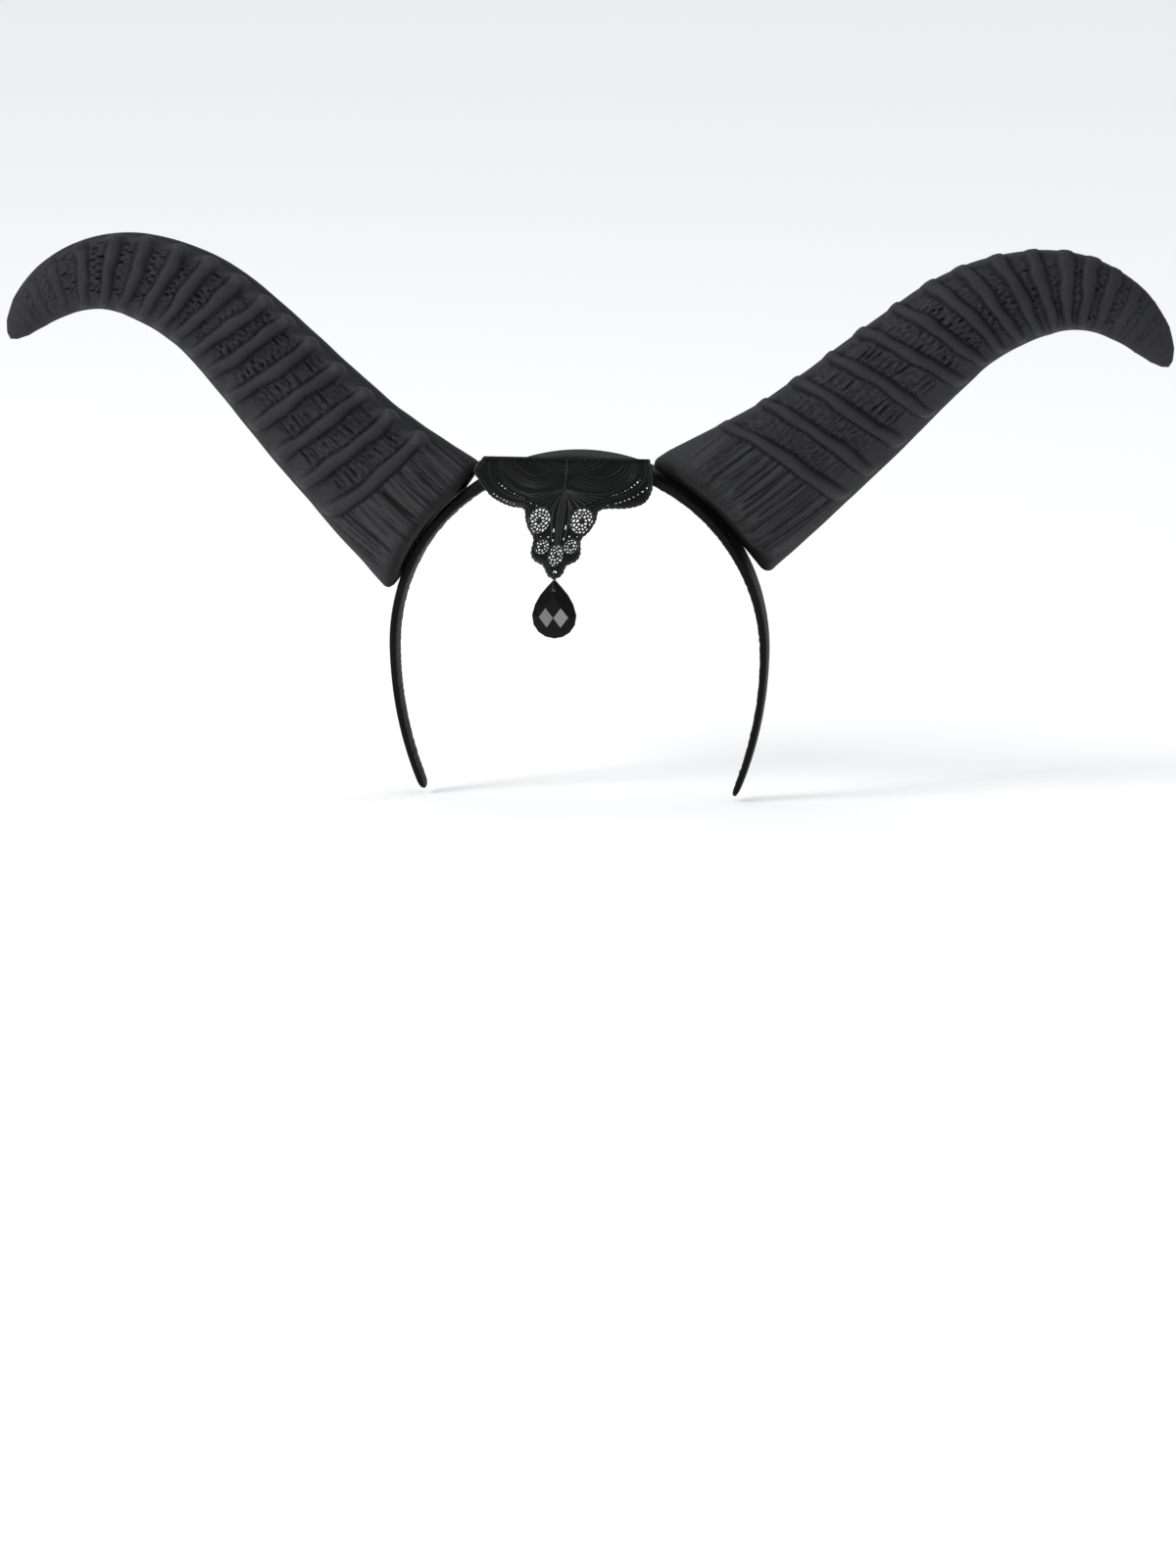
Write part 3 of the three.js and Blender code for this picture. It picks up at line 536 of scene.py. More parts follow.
def collar(s, turn, across, first_bar, draw, name):
    """Height of the lines and grooves on the collar, and the shade painted into them."""
    kind = collar_kinds[name]
    gouged = name == "gouged"
    front = ease((76 - turn) / 12) * ease((turn + 66) / 14)
    inside = ease((s - 5) / 4) * ease((first_bar - 3.0 - s) / 1.6)
    fine = wavering_lines(across, s, draw, 0.8, 0.5) + 0.6 * wavering_lines(across, s, draw, 0.5, 0.3)
    height = kind["lines"] * fine * inside * front
    # Painted shade in the low parts of the fine lines
    painted_shading = kind["dark"] * np.clip(-fine, -0.5, 1) * inside * front
    for k in range(kind["grooves"]):
        # Gouges stand in an even row and end in a rounded dent, and scratches lie anywhere
        place = (24 - 3.1 * k if gouged else draw.uniform(-30, 24)) + draw.uniform(-0.7, 0.7)
        end = draw.uniform(*kind["ends"])
        start = GROOVE_START if gouged else draw.uniform(GROOVE_START, 12)
        wide = draw.uniform(*kind["wide"])
        deep = draw.uniform(*kind["deep"])
        side = across - place + draw.uniform(-0.06, 0.06) * (s - end)
        reach = ease((s - end) / 2.0) * ease((first_bar - start - s) / 1.5 + 0.5)
        groove = np.exp(-np.abs(side / wide) ** 2.5)
        rim = np.exp(-((np.abs(side) - 1.7 * wide) / (0.7 * wide)) ** 2)
        round_end = np.exp(-((s - end + 0.6) / 0.9) ** 2 - (side / (1.6 * wide)) ** 2) if gouged else 0
        height += deep * (reach * (0.5 * rim - groove) + 0.4 * round_end) * front
        # Painted shade in the groove
        painted_shading += 0.32 * reach * groove * front
    return height, painted_shading


print("kinds of collar:", list(collar_kinds))

# %% Put the relief together
def soft_lumps(s, across, draw):
    """Slow unevenness of moulded foam, mostly from -1 to 1."""
    height = np.zeros_like(s)
    for _ in range(14):
        wave_s, wave_a = draw.uniform(-0.45, 0.45, 2)
        height += np.sin(wave_s * s + wave_a * across + draw.uniform(0, 6.3))
    return height / 7


def crumbs(s, across, draw):
    """Fine roughness with grains that are longer than wide, from -1 to 1."""
    height = np.zeros_like(s)
    for _ in range(26):
        wave_s, wave_a = draw.uniform(-2.2, 2.2), draw.uniform(-3.4, 3.4)
        height += np.sin(wave_s * s + wave_a * across + draw.uniform(0, 6.3))
    return np.clip(height / 5, -1, 1)


def painted_side_shade(turn, horn):
    """How much darker the smooth sides and the back are painted than the front, as painted shade."""
    behind = ease((np.abs(turn) - 110) / 60)
    sides = 0.26 * ease((turn - horn["knuckles"] - 9) / 8) + 0.14 * ease((-62 - turn) / 10)
    return sides * (1 - behind) + 0.18 * behind


def horn_relief(s, turn, across, horn):
    """Height in mm over the plain skin of a horn, and the shading painted on each place."""
    draw = np.random.default_rng(horn["seed"])
    lines = bar_lines(turn, horn)
    height, crease, field = bars_and_fields(s, turn, lines, horn)
    lumps, painted_highlight = knuckles_and_lips(s, turn, lines, horn)
    pit = pits(s, turn, across, lines, draw, horn["lined_fields"])
    rough = crumbs(s, across, draw) * field
    grooves, groove_shade = collar(s, turn, across, lines[..., 0], draw, horn["collar"])
    height += lumps
    height += grooves - pit + 0.16 * rough
    height += 0.13 * soft_lumps(s, across, draw)
    # Painted shade in the creases, pits, grooves and fields, painted highlight on the pits' rims, and a
    # little grain tone, all fading a little towards the tip
    painted_shading = 0.42 * crease + 0.4 * np.clip(pit, -0.3, 1) - 0.15 * rough + groove_shade + 0.06 * field
    painted_shading *= 1 - 0.35 * ease((s - 110) / 60)
    # Painted shade on the sides and back, and painted highlight on the knuckles and lips
    painted_shading += painted_side_shade(turn, horn) - painted_highlight
    return height * ease((HORN_LENGTH - s) / 12), np.clip(painted_shading, -0.3, 1)


print("the back is painted", painted_side_shade(np.array([180.0]), horns["left"]).round(2), "darker")

# %% Lay the grid over a horn
HORN_ROWS = 452
HORN_COLUMNS = 212
SEAT_FADES = 15
LIFT_TURN = 8
LIFT_REACH = 82
LIFT_FADES = 30


def column_angles(count):
    """Angles round the horn, twice as close together on its front as on its back."""
    even = np.linspace(0, 2 * math.pi, count, endpoint=False)
    return even - 0.33 * np.sin(even)


def turn_of(angle):
    """Degrees from the front, up to 180 over the outer side and down to -180 over the inner one."""
    return np.degrees((angle + math.pi) % (2 * math.pi) - math.pi)


def lengths_from_seat(plain_s, angle, horn):
    """Lengths along the horn of all rows and columns, of which the first row follows the seat."""
    from_front = np.abs(turn_of(angle) - LIFT_TURN)
    seat = seat_lengths(angle, horn) + horn["front_lift"] * ease((LIFT_REACH - from_front) / LIFT_FADES)
    return np.minimum(plain_s + seat * np.exp(-(plain_s / SEAT_FADES) ** 2), HORN_LENGTH)


def lengths_round(skin, turn):
    """Lengths round the horn from its front, which are negative over the inner side."""
    steps = np.linalg.norm(np.diff(skin, axis=1, append=skin[:, :1]), axis=2)
    walked = np.concatenate([np.zeros((len(skin), 1)), np.cumsum(steps, axis=1)[:, :-1]], axis=1)
    return np.where(turn < 0, walked - steps.sum(axis=1, keepdims=True), walked)


print("grid of a horn:", HORN_ROWS, "rows of", HORN_COLUMNS, "places")

# %% Round and close the ends of a horn
BASE_ROUNDING = 4.6
SIDE_ROUNDING = 2.8
CAP_ROWS = 10


def drawn_in(plain_s, angle):
    """How far the skin is drawn in near its base, which rounds the edge over."""
    rounding = SIDE_ROUNDING + (BASE_ROUNDING - SIDE_ROUNDING) * np.abs(np.cos(angle))
    return rounding - np.sqrt(rounding ** 2 - np.maximum(rounding - plain_s, 0) ** 2)


def closed_ends(skin):
    """The skin with a cap over its base, which lies along the hoop, and with its tip closed."""
    rim = skin[0]
    heart = rim.mean(axis=0)
    shares = np.linspace(0, 1, CAP_ROWS, endpoint=False)[:, None, None]
    cap = lift_to_seat(heart + (rim - heart) * shares)
    cap[0] = cap[0].mean(axis=0)
    tip = np.broadcast_to(skin[-1].mean(axis=0), (1, *rim.shape))
    return np.concatenate([cap, skin[:-1], tip])


print("the base's edge is rounded over", SIDE_ROUNDING, "to", BASE_ROUNDING, "mm")

# %% Build the horns
# Painted shade on the cap under the base and along the rounded edge of the base
CAP_SHADE = 0.6
BASE_EDGE_SHADE = 0.4
EDGE_REACH = 4.5


def surface_normals(places, inside):
    """Normals of rows of places, which point away from the places inside."""
    along = np.gradient(places, axis=0)
    ring = np.concatenate([places[:, -1:], places, places[:, :1]], axis=1)
    around = np.gradient(ring, axis=1)[:, 1:-1]
    normals = np.cross(along, around)
    normals /= np.linalg.norm(normals, axis=2, keepdims=True) + TINY
    outward = np.sum(normals * (places - inside), axis=2, keepdims=True)
    return normals * np.where(outward < 0, -1, 1)


def horn_places(horn):
    """Rows of places on a horn, from the middle of its base to its tip, and the shading painted on each.
    """
    angle = column_angles(HORN_COLUMNS)
    plain_s = np.linspace(0, HORN_LENGTH, HORN_ROWS)[:, None]
    s = lengths_from_seat(plain_s, angle, horn)
    angles = np.ones_like(s) * angle
    turn = turn_of(angles)
    skin, middle = on_horn(s, angles, horn)
    relief, painted_shading = horn_relief(s, turn, lengths_round(skin, turn), horn)
    lift = relief * ease(plain_s / 4) - drawn_in(plain_s, angle)
    skin = skin + surface_normals(skin, middle) * lift[..., None]
    # Painted shade along the rounded edge of the base
    painted_shading = painted_shading + BASE_EDGE_SHADE * np.exp(-(plain_s / EDGE_REACH) ** 2)
    # Painted shade on the cap under the base
    cap_shade = np.full((CAP_ROWS, HORN_COLUMNS), CAP_SHADE)
    return closed_ends(skin), np.concatenate([cap_shade, painted_shading])


horn_pieces = {}
for name, horn in horns.items():
    places, painted_shading = horn_places(horn)
    piece = rolled_grid("horn_" + name + "_foam", places, painted_shading)
    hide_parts("horn_" + name)
    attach(piece, "headpiece")
    horn_pieces[name] = piece
    print(piece.name, "faces:", len(piece.data.polygons))

# %% [markdown]
# The finish of the foam.
# Moulded foam has a thin, matt, charcoal skin. Shade is painted into its colour: darker in
# the creases, pits, grooves and fields, on the sides and back and round the base, and paler
# on the knuckles and lips as painted highlight. Dust makes the rest a little paler. It could
# be painted on by hand, but each point already keeps how much shading is painted on it. So
# the colour follows that, with a fine noise for dust and a grain that shows close up.

# %% Helpers for finishes
def finish_called(name, rough, **plain):
    """A new material with its shader's plain sockets set, and its nodes and links."""
    finish = bpy.data.materials.new(name)
    finish.use_nodes = True
    nodes, links = finish.node_tree.nodes, finish.node_tree.links
    shader = nodes["Principled BSDF"]
    shader.inputs["Roughness"].default_value = rough
    for socket, value in plain.items():
        shader.inputs[socket.replace("_", " ")].default_value = value
    return finish, nodes, links, shader


def add_noise(nodes, links, scale, detail, stretch=(1, 1, 1)):
    """A noise node on the piece's own coordinates."""
    coordinates = nodes.new("ShaderNodeTexCoord")
    mapping = nodes.new("ShaderNodeMapping")
    mapping.inputs["Scale"].default_value = stretch
    noise = nodes.new("ShaderNodeTexNoise")
    noise.inputs["Scale"].default_value = scale
    noise.inputs["Detail"].default_value = detail
    links.new(coordinates.outputs["Object"], mapping.inputs["Vector"])
    links.new(mapping.outputs["Vector"], noise.inputs["Vector"])
    return noise


def add_ramp(nodes, links, value, stops):
    """A colour ramp over a value, with stops of a place and a colour of 0 to 255."""
    ramp = nodes.new("ShaderNodeValToRGB")
    while len(ramp.color_ramp.elements) < len(stops):
        ramp.color_ramp.elements.new(0.5)
    for element, (place, colour) in zip(ramp.color_ramp.elements, stops):
        element.position = place
        element.color = (*[linear(c) for c in colour], 1)
    links.new(value, ramp.inputs["Fac"])
    return ramp


def linear(channel):
    """Linear light of a channel of 0 to 255."""
    share = channel / 255
    return share / 12.92 if share <= 0.04045 else ((share + 0.055) / 1.055) ** 2.4


print("a channel of 41 is", round(linear(41), 4), "in linear light")

# %% Helpers for bumps and sums
def add_bump(nodes, links, shader, heights, strength, reach):
    """Bumps from several height outputs, one after the other."""
    before = None
    for height in heights:
        bump = nodes.new("ShaderNodeBump")
        bump.inputs["Strength"].default_value = strength
        bump.inputs["Distance"].default_value = reach
        links.new(height, bump.inputs["Height"])
        if before:
            links.new(before.outputs["Normal"], bump.inputs["Normal"])
        before = bump
    links.new(before.outputs["Normal"], shader.inputs["Normal"])


def add_math(nodes, links, how, first, second):
    """A maths node on an output and an output or a number."""
    result = nodes.new("ShaderNodeMath")
    result.operation = how
    links.new(first, result.inputs[0])
    if isinstance(second, (int, float)):
        result.inputs[1].default_value = second
    else:
        links.new(second, result.inputs[1])
    return result.outputs["Value"]


print("helpers for finishes:", [f.__name__ for f in (add_noise, add_ramp, add_bump, add_math)])

# %% Foam skin
foam, nodes, links, shader = finish_called("charcoal_foam_skin", 0.7, Specular_IOR_Level=0.22)
# The colour darkens with the painted shade and pales with the painted highlight kept on each point
painted_shading = nodes.new("ShaderNodeAttribute")
painted_shading.attribute_name = "painted_shading"
clouds = add_noise(nodes, links, 60, 4)
specks = add_noise(nodes, links, 900, 2)
dust = add_math(nodes, links, "MULTIPLY", clouds.outputs["Fac"], 0.3)
dots = add_math(nodes, links, "MULTIPLY", specks.outputs["Fac"], 0.3)
tone = add_math(nodes, links, "ADD", dust, dots)
shaded_tone = add_math(nodes, links, "SUBTRACT", tone, painted_shading.outputs["Fac"])
shade = add_math(nodes, links, "ADD", shaded_tone, 0.35)
foam_colours = add_ramp(nodes, links, shade, [
    (0.0, (7, 7, 8)), (0.28, (22, 22, 23)), (0.6, (41, 41, 43)), (0.85, (54, 54, 56)),
])
links.new(foam_colours.outputs["Color"], shader.inputs["Base Color"])
grain = add_noise(nodes, links, 1500, 3)
dents = add_noise(nodes, links, 330, 3)
add_bump(nodes, links, shader, [dents.outputs["Fac"], grain.outputs["Fac"]], 0.5, 0.3 * MM)
for piece in horn_pieces.values():
    piece.data.materials.append(foam)
print("nodes of the foam skin:", len(nodes))

# %% [markdown]
# The padded hoop.
# The hoop is a flat plastic band with a thin pad, wrapped in black satin ribbon. It is
# broad over the crown, where it carries the horns, and slim at the tips. The ribbon
# is folded over the edges and meets in a seam along the inside, with small gathers
# where it has to shorten. A box bent along a curve would have hard edges and no ribbon,
# so the hoop is rolled up from a grid as the horns are, with the ribbon as its relief.

# %% Path and section of the hoop
hoop_form = np.array([
    # share of the way down, share of the width, share of the thickness
    (0.0, 1.0, 1.0),
    (0.22, 0.98, 0.98),
    (0.42, 0.8, 0.86),
    (0.56, 0.6, 0.72),
    (0.72, 0.5, 0.62),
    (0.95, 0.43, 0.56),
    (1.0, 0.42, 0.52),
])


def half_hoop(count):
    """Places on half the hoop's middle line from the crown to a tip, and the directions outwards."""
    arch = np.linspace(math.pi / 2, 0, 600)
    leg = np.linspace(0, BAND_LEG_LENGTH / BAND_LEG_RADIUS, 300)[1:]
    leg_x = BAND_HALF_SPAN + BAND_LEG_RADIUS * (np.cos(leg) - 1)
    leg_z = -BAND_LEG_RADIUS * np.sin(leg)
    x = np.concatenate([BAND_HALF_SPAN * np.cos(arch), leg_x])
    z = np.concatenate([BAND_RISE * np.sin(arch), leg_z]) + BAND_CENTRE_Z
    walked = np.concatenate([[0], np.cumsum(np.hypot(np.diff(x), np.diff(z)))])
    stops = np.linspace(0, walked[-1], count)
    x, z = np.interp(stops, walked, x), np.interp(stops, walked, z)
    along_x, along_z = np.gradient(x), np.gradient(z)
    long = np.hypot(along_x, along_z)
    return np.stack([x, z], 1), np.stack([-along_z, along_x], 1) / long[:, None], stops


print("length of half the hoop:", half_hoop(2)[2][-1].round(1), "mm")

# %% Ribbon round the hoop
SEAM_HEIGHT = 0.35
SEAM_HALF_WIDTH = 0.9
GATHER_WAVES = 9


def ribbon_relief(s, across, angle, to_tip):
    """Height of the ribbon's seam along the inside and of its small gathers."""
    draw = np.random.default_rng(3)
    inner = ease(-np.sin(angle) * 2)
    seam = SEAM_HEIGHT * np.exp(-((across - 0.8 * np.sin(s / 17)) / SEAM_HALF_WIDTH) ** 2) * inner
    gathers = np.zeros_like(across)
    for _ in range(GATHER_WAVES):
        wave_s, wave_a = draw.uniform(0.5, 2.6), draw.uniform(-0.3, 0.3)
        gathers += np.sin(wave_s * s + wave_a * across + draw.uniform(0, 6))
    flat_face = np.abs(np.sin(angle)) ** 1.5
    return (seam + gathers * (0.035 * inner + 0.006) * flat_face) * ease(to_tip / 8)


print("the ribbon's seam is", SEAM_HEIGHT, "mm high and has", GATHER_WAVES, "waves of gathers")

# %% Build the hoop
HOOP_ROWS = 241
HOOP_COLUMNS = 72
SQUARENESS = 0.5
TIP_ROUNDING = 4.5


def squared(wave):
    """A sine or cosine drawn out towards the corners of a square."""
    return np.sign(wave) * np.abs(wave) ** SQUARENESS


def hoop_places():
    """Rows of places round the hoop, from its left tip to its right one."""
    middle, out, stops = half_hoop(HOOP_ROWS)
    middle = np.concatenate([middle[:0:-1] * (-1, 1), middle])
    out = np.concatenate([out[:0:-1] * (-1, 1), out])
    s = np.concatenate([-stops[:0:-1], stops])[:, None]
    share = np.abs(s) / stops[-1]
    width = BAND_WIDTH * np.interp(share, hoop_form[:, 0], hoop_form[:, 1])
    thick = BAND_THICKNESS * np.interp(share, hoop_form[:, 0], hoop_form[:, 2])
    to_tip = stops[-1] - np.abs(s)
    rounding = np.sqrt(np.clip(1 - (1 - np.clip(to_tip / TIP_ROUNDING, 0, 1)) ** 2, 0, 1))
    angle = np.linspace(0, 2 * math.pi, HOOP_COLUMNS, endpoint=False)[None]
    across = squared(np.cos(angle)) * width / 2 * rounding
    proud = squared(np.sin(angle)) * thick / 2 * rounding
    proud = proud + np.sign(np.sin(angle) + TINY) * ribbon_relief(s, across, angle, to_tip)
    x = middle[:, :1] + out[:, :1] * proud
    z = middle[:, 1:] + out[:, 1:] * proud
    return np.stack([x, across + np.zeros_like(x), z], axis=-1)


hoop = hoop_places()
satin_band = rolled_grid("satin_band", hoop, np.zeros(hoop.shape[:2]))
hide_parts("headband")
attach(satin_band, "headpiece")
print("hoop faces:", len(satin_band.data.polygons))

# %% [markdown]
# The finish of the satin.
# Satin is woven so that long threads float over the surface, which gives it a soft
# glow along the cloth rather than a sharp shine. Threads this fine are never modelled.
# The UV map of the hoop runs along it, so two sets of fine waves in the bump can stand
# for the warp and the weft.

# %% Helper for a finish of two colours
SPECKLE_STOPS = (0.3, 0.7)


def speckled_finish(name, rough, noise, colours, bump=None, **plain):
    """A finish whose two colours, and bumps if any, follow one noise of a scale, detail and stretch."""
    finish, nodes, links, shader = finish_called(name, rough, **plain)
    speckles = add_noise(nodes, links, *noise)
    ramp = add_ramp(nodes, links, speckles.outputs["Fac"], list(zip(SPECKLE_STOPS, colours)))
    links.new(ramp.outputs["Color"], shader.inputs["Base Color"])
    if bump:
        add_bump(nodes, links, shader, [speckles.outputs["Fac"]], *bump)
    return finish, nodes, links, shader


print("a fine noise is dark below", SPECKLE_STOPS[0], "and light above", SPECKLE_STOPS[1])

# %% Satin ribbon
satin, nodes, links, shader = speckled_finish(
    "black_satin_ribbon", 0.6, (90, 3), [(9, 9, 8), (16, 16, 15)],
    Specular_IOR_Level=0.1, Sheen_Weight=0.02, Sheen_Roughness=0.4)


def add_waves(nodes, links, scale, stretch):
    """Fine straight waves along one direction of the piece's UV map."""
    coordinates = nodes.new("ShaderNodeTexCoord")
    mapping = nodes.new("ShaderNodeMapping")
    mapping.inputs["Scale"].default_value = stretch
    waves = nodes.new("ShaderNodeTexWave")
    waves.inputs["Scale"].default_value = scale
    waves.inputs["Distortion"].default_value = 0.6
    links.new(coordinates.outputs["UV"], mapping.inputs["Vector"])
    links.new(mapping.outputs["Vector"], waves.inputs["Vector"])
    return waves


warp = add_waves(nodes, links, 26, (1, 0, 0))
weft = add_waves(nodes, links, 190, (0, 1, 0))
weft.bands_direction = "Y"
add_bump(nodes, links, shader, [warp.outputs["Fac"], weft.outputs["Fac"]], 0.35, 0.06 * MM)
satin_band.data.materials.append(satin)
print("nodes of the satin:", len(nodes))

# %% [markdown]
# The lace, laid flat.
# The motif is machine embroidery: a thin ground with cords and satin stitches on it,
# and holes left open between the threads. It could be modelled in its bent form, but a
# flat drawing is easier to measure and keeps the lace's true size. So it is drawn flat in
# millimetres, as it comes off the machine: across from its middle, and down from its top
# edge. Only at the end is it bent over the hoop and forward over the crown.

# %% Outline of the lace
LACE_HALF_WIDTH = 37.5
LACE_DROP = 61
lace_shares = np.array([
    # down, left and right, as shares of the drop and of the half width
    (0.0, 0.93, 0.92),
    (0.09, 1.05, 0.95),
    (0.17, 1.0, 0.965),
    (0.27, 0.88, 0.93),
    (0.35, 0.73, 0.86),
    (0.4, 0.59, 0.7),
    (0.43, 0.44, 0.43),
    (0.53, 0.4, 0.39),
    (0.62, 0.34, 0.33),
    (0.69, 0.285, 0.255),
    (0.8, 0.295, 0.265),
    (0.86, 0.25, 0.225),
    (0.9, 0.15, 0.125),
    (0.95, 0.105, 0.1),
    (0.985, 0.07, 0.065),
    (1.0, 0.02, 0.02),
])


print("points of the outline on each side:", len(lace_shares))

# %% Smooth outline
EDGE_SPACING = 0.6


def smooth_through(points, spacing):
    """Even places on a smooth curve through points."""
    points = np.asarray(points, float)
    padded = np.concatenate([2 * points[:1] - points[1:2], points, 2 * points[-1:] - points[-2:-1]])
    t = np.linspace(0, 1, 24, endpoint=False)[:, None]
    parts = []
    for a, b, c, d in zip(padded[:-3], padded[1:-2], padded[2:-1], padded[3:]):
        square = 2 * a - 5 * b + 4 * c - d
        cube = 3 * b - a - 3 * c + d
        parts.append(0.5 * (2 * b + (c - a) * t + square * t ** 2 + cube * t ** 3))
    curve = np.concatenate([*parts, points[-1:]])
    walked = np.concatenate([[0], np.cumsum(np.linalg.norm(np.diff(curve, axis=0), axis=1))])
    stops = np.linspace(0, walked[-1], max(2, round(walked[-1] / spacing)) + 1)
    return np.stack([np.interp(stops, walked, curve[:, k]) for k in range(2)], 1)


right_edge = smooth_through(lace_shares[:, [2, 0]] * (LACE_HALF_WIDTH, LACE_DROP), EDGE_SPACING)
left_edge = smooth_through(lace_shares[:, [1, 0]] * (-LACE_HALF_WIDTH, LACE_DROP), EDGE_SPACING)
lace_edge = np.concatenate([right_edge, left_edge[::-1]])
print("places on the edge:", len(lace_edge))

# %% Scalloped edge
SCALLOP = 0.32
SCALLOP_POINTS = 4


def pulled_in(loop, depth):
    """A loop moved inwards by a distance."""
    heading = np.roll(loop, -1, axis=0) - np.roll(loop, 1, axis=0)
    inward = np.stack([-heading[:, 1], heading[:, 0]], 1)
    inward /= np.linalg.norm(inward, axis=1, keepdims=True) + TINY
    return loop + inward * depth


bulge = np.abs(np.sin(math.pi * np.arange(len(lace_edge)) / SCALLOP_POINTS))
lace_edge = pulled_in(lace_edge, SCALLOP * (1 - bulge)[:, None])


def area_of(loop):
    """Area inside a loop of flat places."""
    x, y = loop.T
    return abs(np.dot(x, np.roll(y, -1)) - np.dot(y, np.roll(x, -1))) / 2


print("lace outline:", len(lace_edge), "points,", round(area_of(lace_edge)), "square mm")

# %% [markdown]
# The holes.
# Two net fields flank the tail, two smaller ones fill its lobes and a leaf-shaped one its
# tip. In each, threads run from a solid eye to the rim and are caught by rings, and no
# two meshes are quite the same. Such a net can be worked out from a point for each mesh:
# every mesh is the part of the field that is nearer to its own point than to the others,
# less half a thread. Rows of small eyelets follow the lower edges of the fan.

# %% Helpers for nets
chance = np.random.default_rng(11)
NET_THREAD = 0.5
SMALLEST_MESH = 0.22


def ring_at(across, down, radius, squash=(1, 1), count=28):
    """Places round a circle or an oval."""
    angles = np.linspace(0, 2 * math.pi, count, endpoint=False)
    x = across + squash[0] * radius * np.cos(angles)
    return np.stack([x, down + squash[1] * radius * np.sin(angles)], 1)


def clipped(loop, point, direction):
    """The part of a loop that lies behind a line."""
    ahead = (loop - point) @ direction
    kept = []
    for k in range(len(loop)):
        before, here = ahead[k - 1], ahead[k]
        if (before < 0) != (here < 0):
            kept.append(loop[k - 1] + (loop[k] - loop[k - 1]) * before / (before - here))
        if here < 0:
            kept.append(loop[k])
    return np.array(kept)


def net_points(across, down, half, rings):
    """A point for the eye of a net and one for each mesh, on uneven rings round it."""
    points = [np.array([across, down])]
    for reach, count in rings:
        places = np.arange(count) + chance.uniform(0, 1) + chance.uniform(-0.28, 0.28, count)
        turns = 2 * math.pi * places / count
        reaches = reach * chance.uniform(0.86, 1.12, count)
        x = across + half[0] * reaches * np.cos(turns)
        points += list(np.stack([x, down + half[1] * reaches * np.sin(turns)], 1))
    return points


def net(across, down, half, rings):
    """Meshes of a net round an eye. Each ring has a share of the field's half size and a count."""
    rim = ring_at(across, down, 1, half, 26)
    points = net_points(across, down, half, rings)
    meshes = []
    for own in points[1:]:
        mesh = rim
        for other in points:
            apart = np.linalg.norm(other - own)
            if apart > 0 and len(mesh) > 2:
                toward = (other - own) / apart
                mesh = clipped(mesh, own + toward * (apart - NET_THREAD) / 2, toward)
        if len(mesh) > 2 and area_of(mesh) > SMALLEST_MESH:
            ahead = np.roll(mesh, -1, axis=0)
            blunt = np.stack([0.75 * mesh + 0.25 * ahead, 0.25 * mesh + 0.75 * ahead], 1)
            meshes.append(blunt.reshape(-1, 2))
    return meshes


print("thread between two meshes:", NET_THREAD, "mm")

# %% Helpers for eyelets
def hole(across, down, wide, tall, turn=0.0, corners=10):
    """A small oval of flat places, a little uneven, that may be turned."""
    angles = np.linspace(0, 2 * math.pi, corners, endpoint=False)
    reach = chance.uniform(0.88, 1.1, corners)
    oval = np.stack([np.cos(angles) * wide / 2 * reach, np.sin(angles) * tall / 2 * reach], 1)
    spin = np.array([[math.cos(turn), math.sin(turn)], [-math.sin(turn), math.cos(turn)]])
    return oval @ spin + (across, down)


def row_of_eyelets(start, end, bow, count, wide, long):
    """Eyelets along a bowed line."""
    (x0, y0), (x1, y1) = start, end
    heading = math.atan2(y1 - y0, x1 - x0)
    row = []
    for share in np.linspace(0, 1, count):
        x = x0 + (x1 - x0) * share
        y = y0 + (y1 - y0) * share + bow * math.sin(math.pi * share)
        turn = heading + bow * math.pi * math.cos(math.pi * share) / math.hypot(x1 - x0, y1 - y0)
        row.append(hole(x, y, long * chance.uniform(0.6, 1.15), wide * chance.uniform(0.7, 1.1), turn, 8))
    return row


print("helpers for holes:", net.__name__, hole.__name__, row_of_eyelets.__name__)

# %% Holes of the lace
net_fields = [
    # across, down, half sizes, rings of meshes
    (-9.1, 32.6, (4.6, 6.6), [(0.4, 8), (0.68, 13), (0.96, 16)]),
    (8.8, 32.6, (4.6, 6.6), [(0.4, 8), (0.68, 13), (0.96, 16)]),
    (-6.5, 45.9, (2.8, 3.5), [(0.52, 7), (0.95, 11)]),
    (5.5, 45.6, (2.7, 3.5), [(0.52, 7), (0.95, 11)]),
    (-0.3, 50.2, (2.9, 5.2), [(0.4, 6), (0.72, 9), (0.98, 12)]),
]
eyelet_rows = [
    # start, end, bow, count, width, length
    ((-28.8, 11.6), (-17.2, 20.0), 0.5, 9, 0.8, 1.0),
    ((-30.6, 16.5), (-21.0, 23.0), 0.6, 7, 0.75, 1.4),
    ((14.5, 20.2), (30.6, 9.0), 2.0, 15, 0.65, 0.85),
    ((18.5, 23.6), (33.4, 12.6), 1.7, 10, 0.75, 1.3),
]
single_holes = [
    # across, down, wide, tall
    (0.2, 3.4, 2.6, 0.6),
    (-13.6, 23.2, 0.8, 0.8),
    (-16.4, 21.6, 0.7, 0.8),
    (-11.0, 24.6, 0.8, 0.7),
    (4.4, 40.6, 0.8, 1.1),
    (-4.4, 41.0, 0.7, 1.1),
    (-7.6, 40.7, 0.8, 0.7),
    (7.6, 40.6, 0.8, 0.7),
    (-2.4, 37.6, 0.6, 2.4),
    (2.4, 36.0, 0.6, 2.8),
    (-2.3, 42.6, 0.6, 1.5),
    (2.2, 41.8, 0.6, 1.6),
]
meshes = [mesh for field in net_fields for mesh in net(*field)]
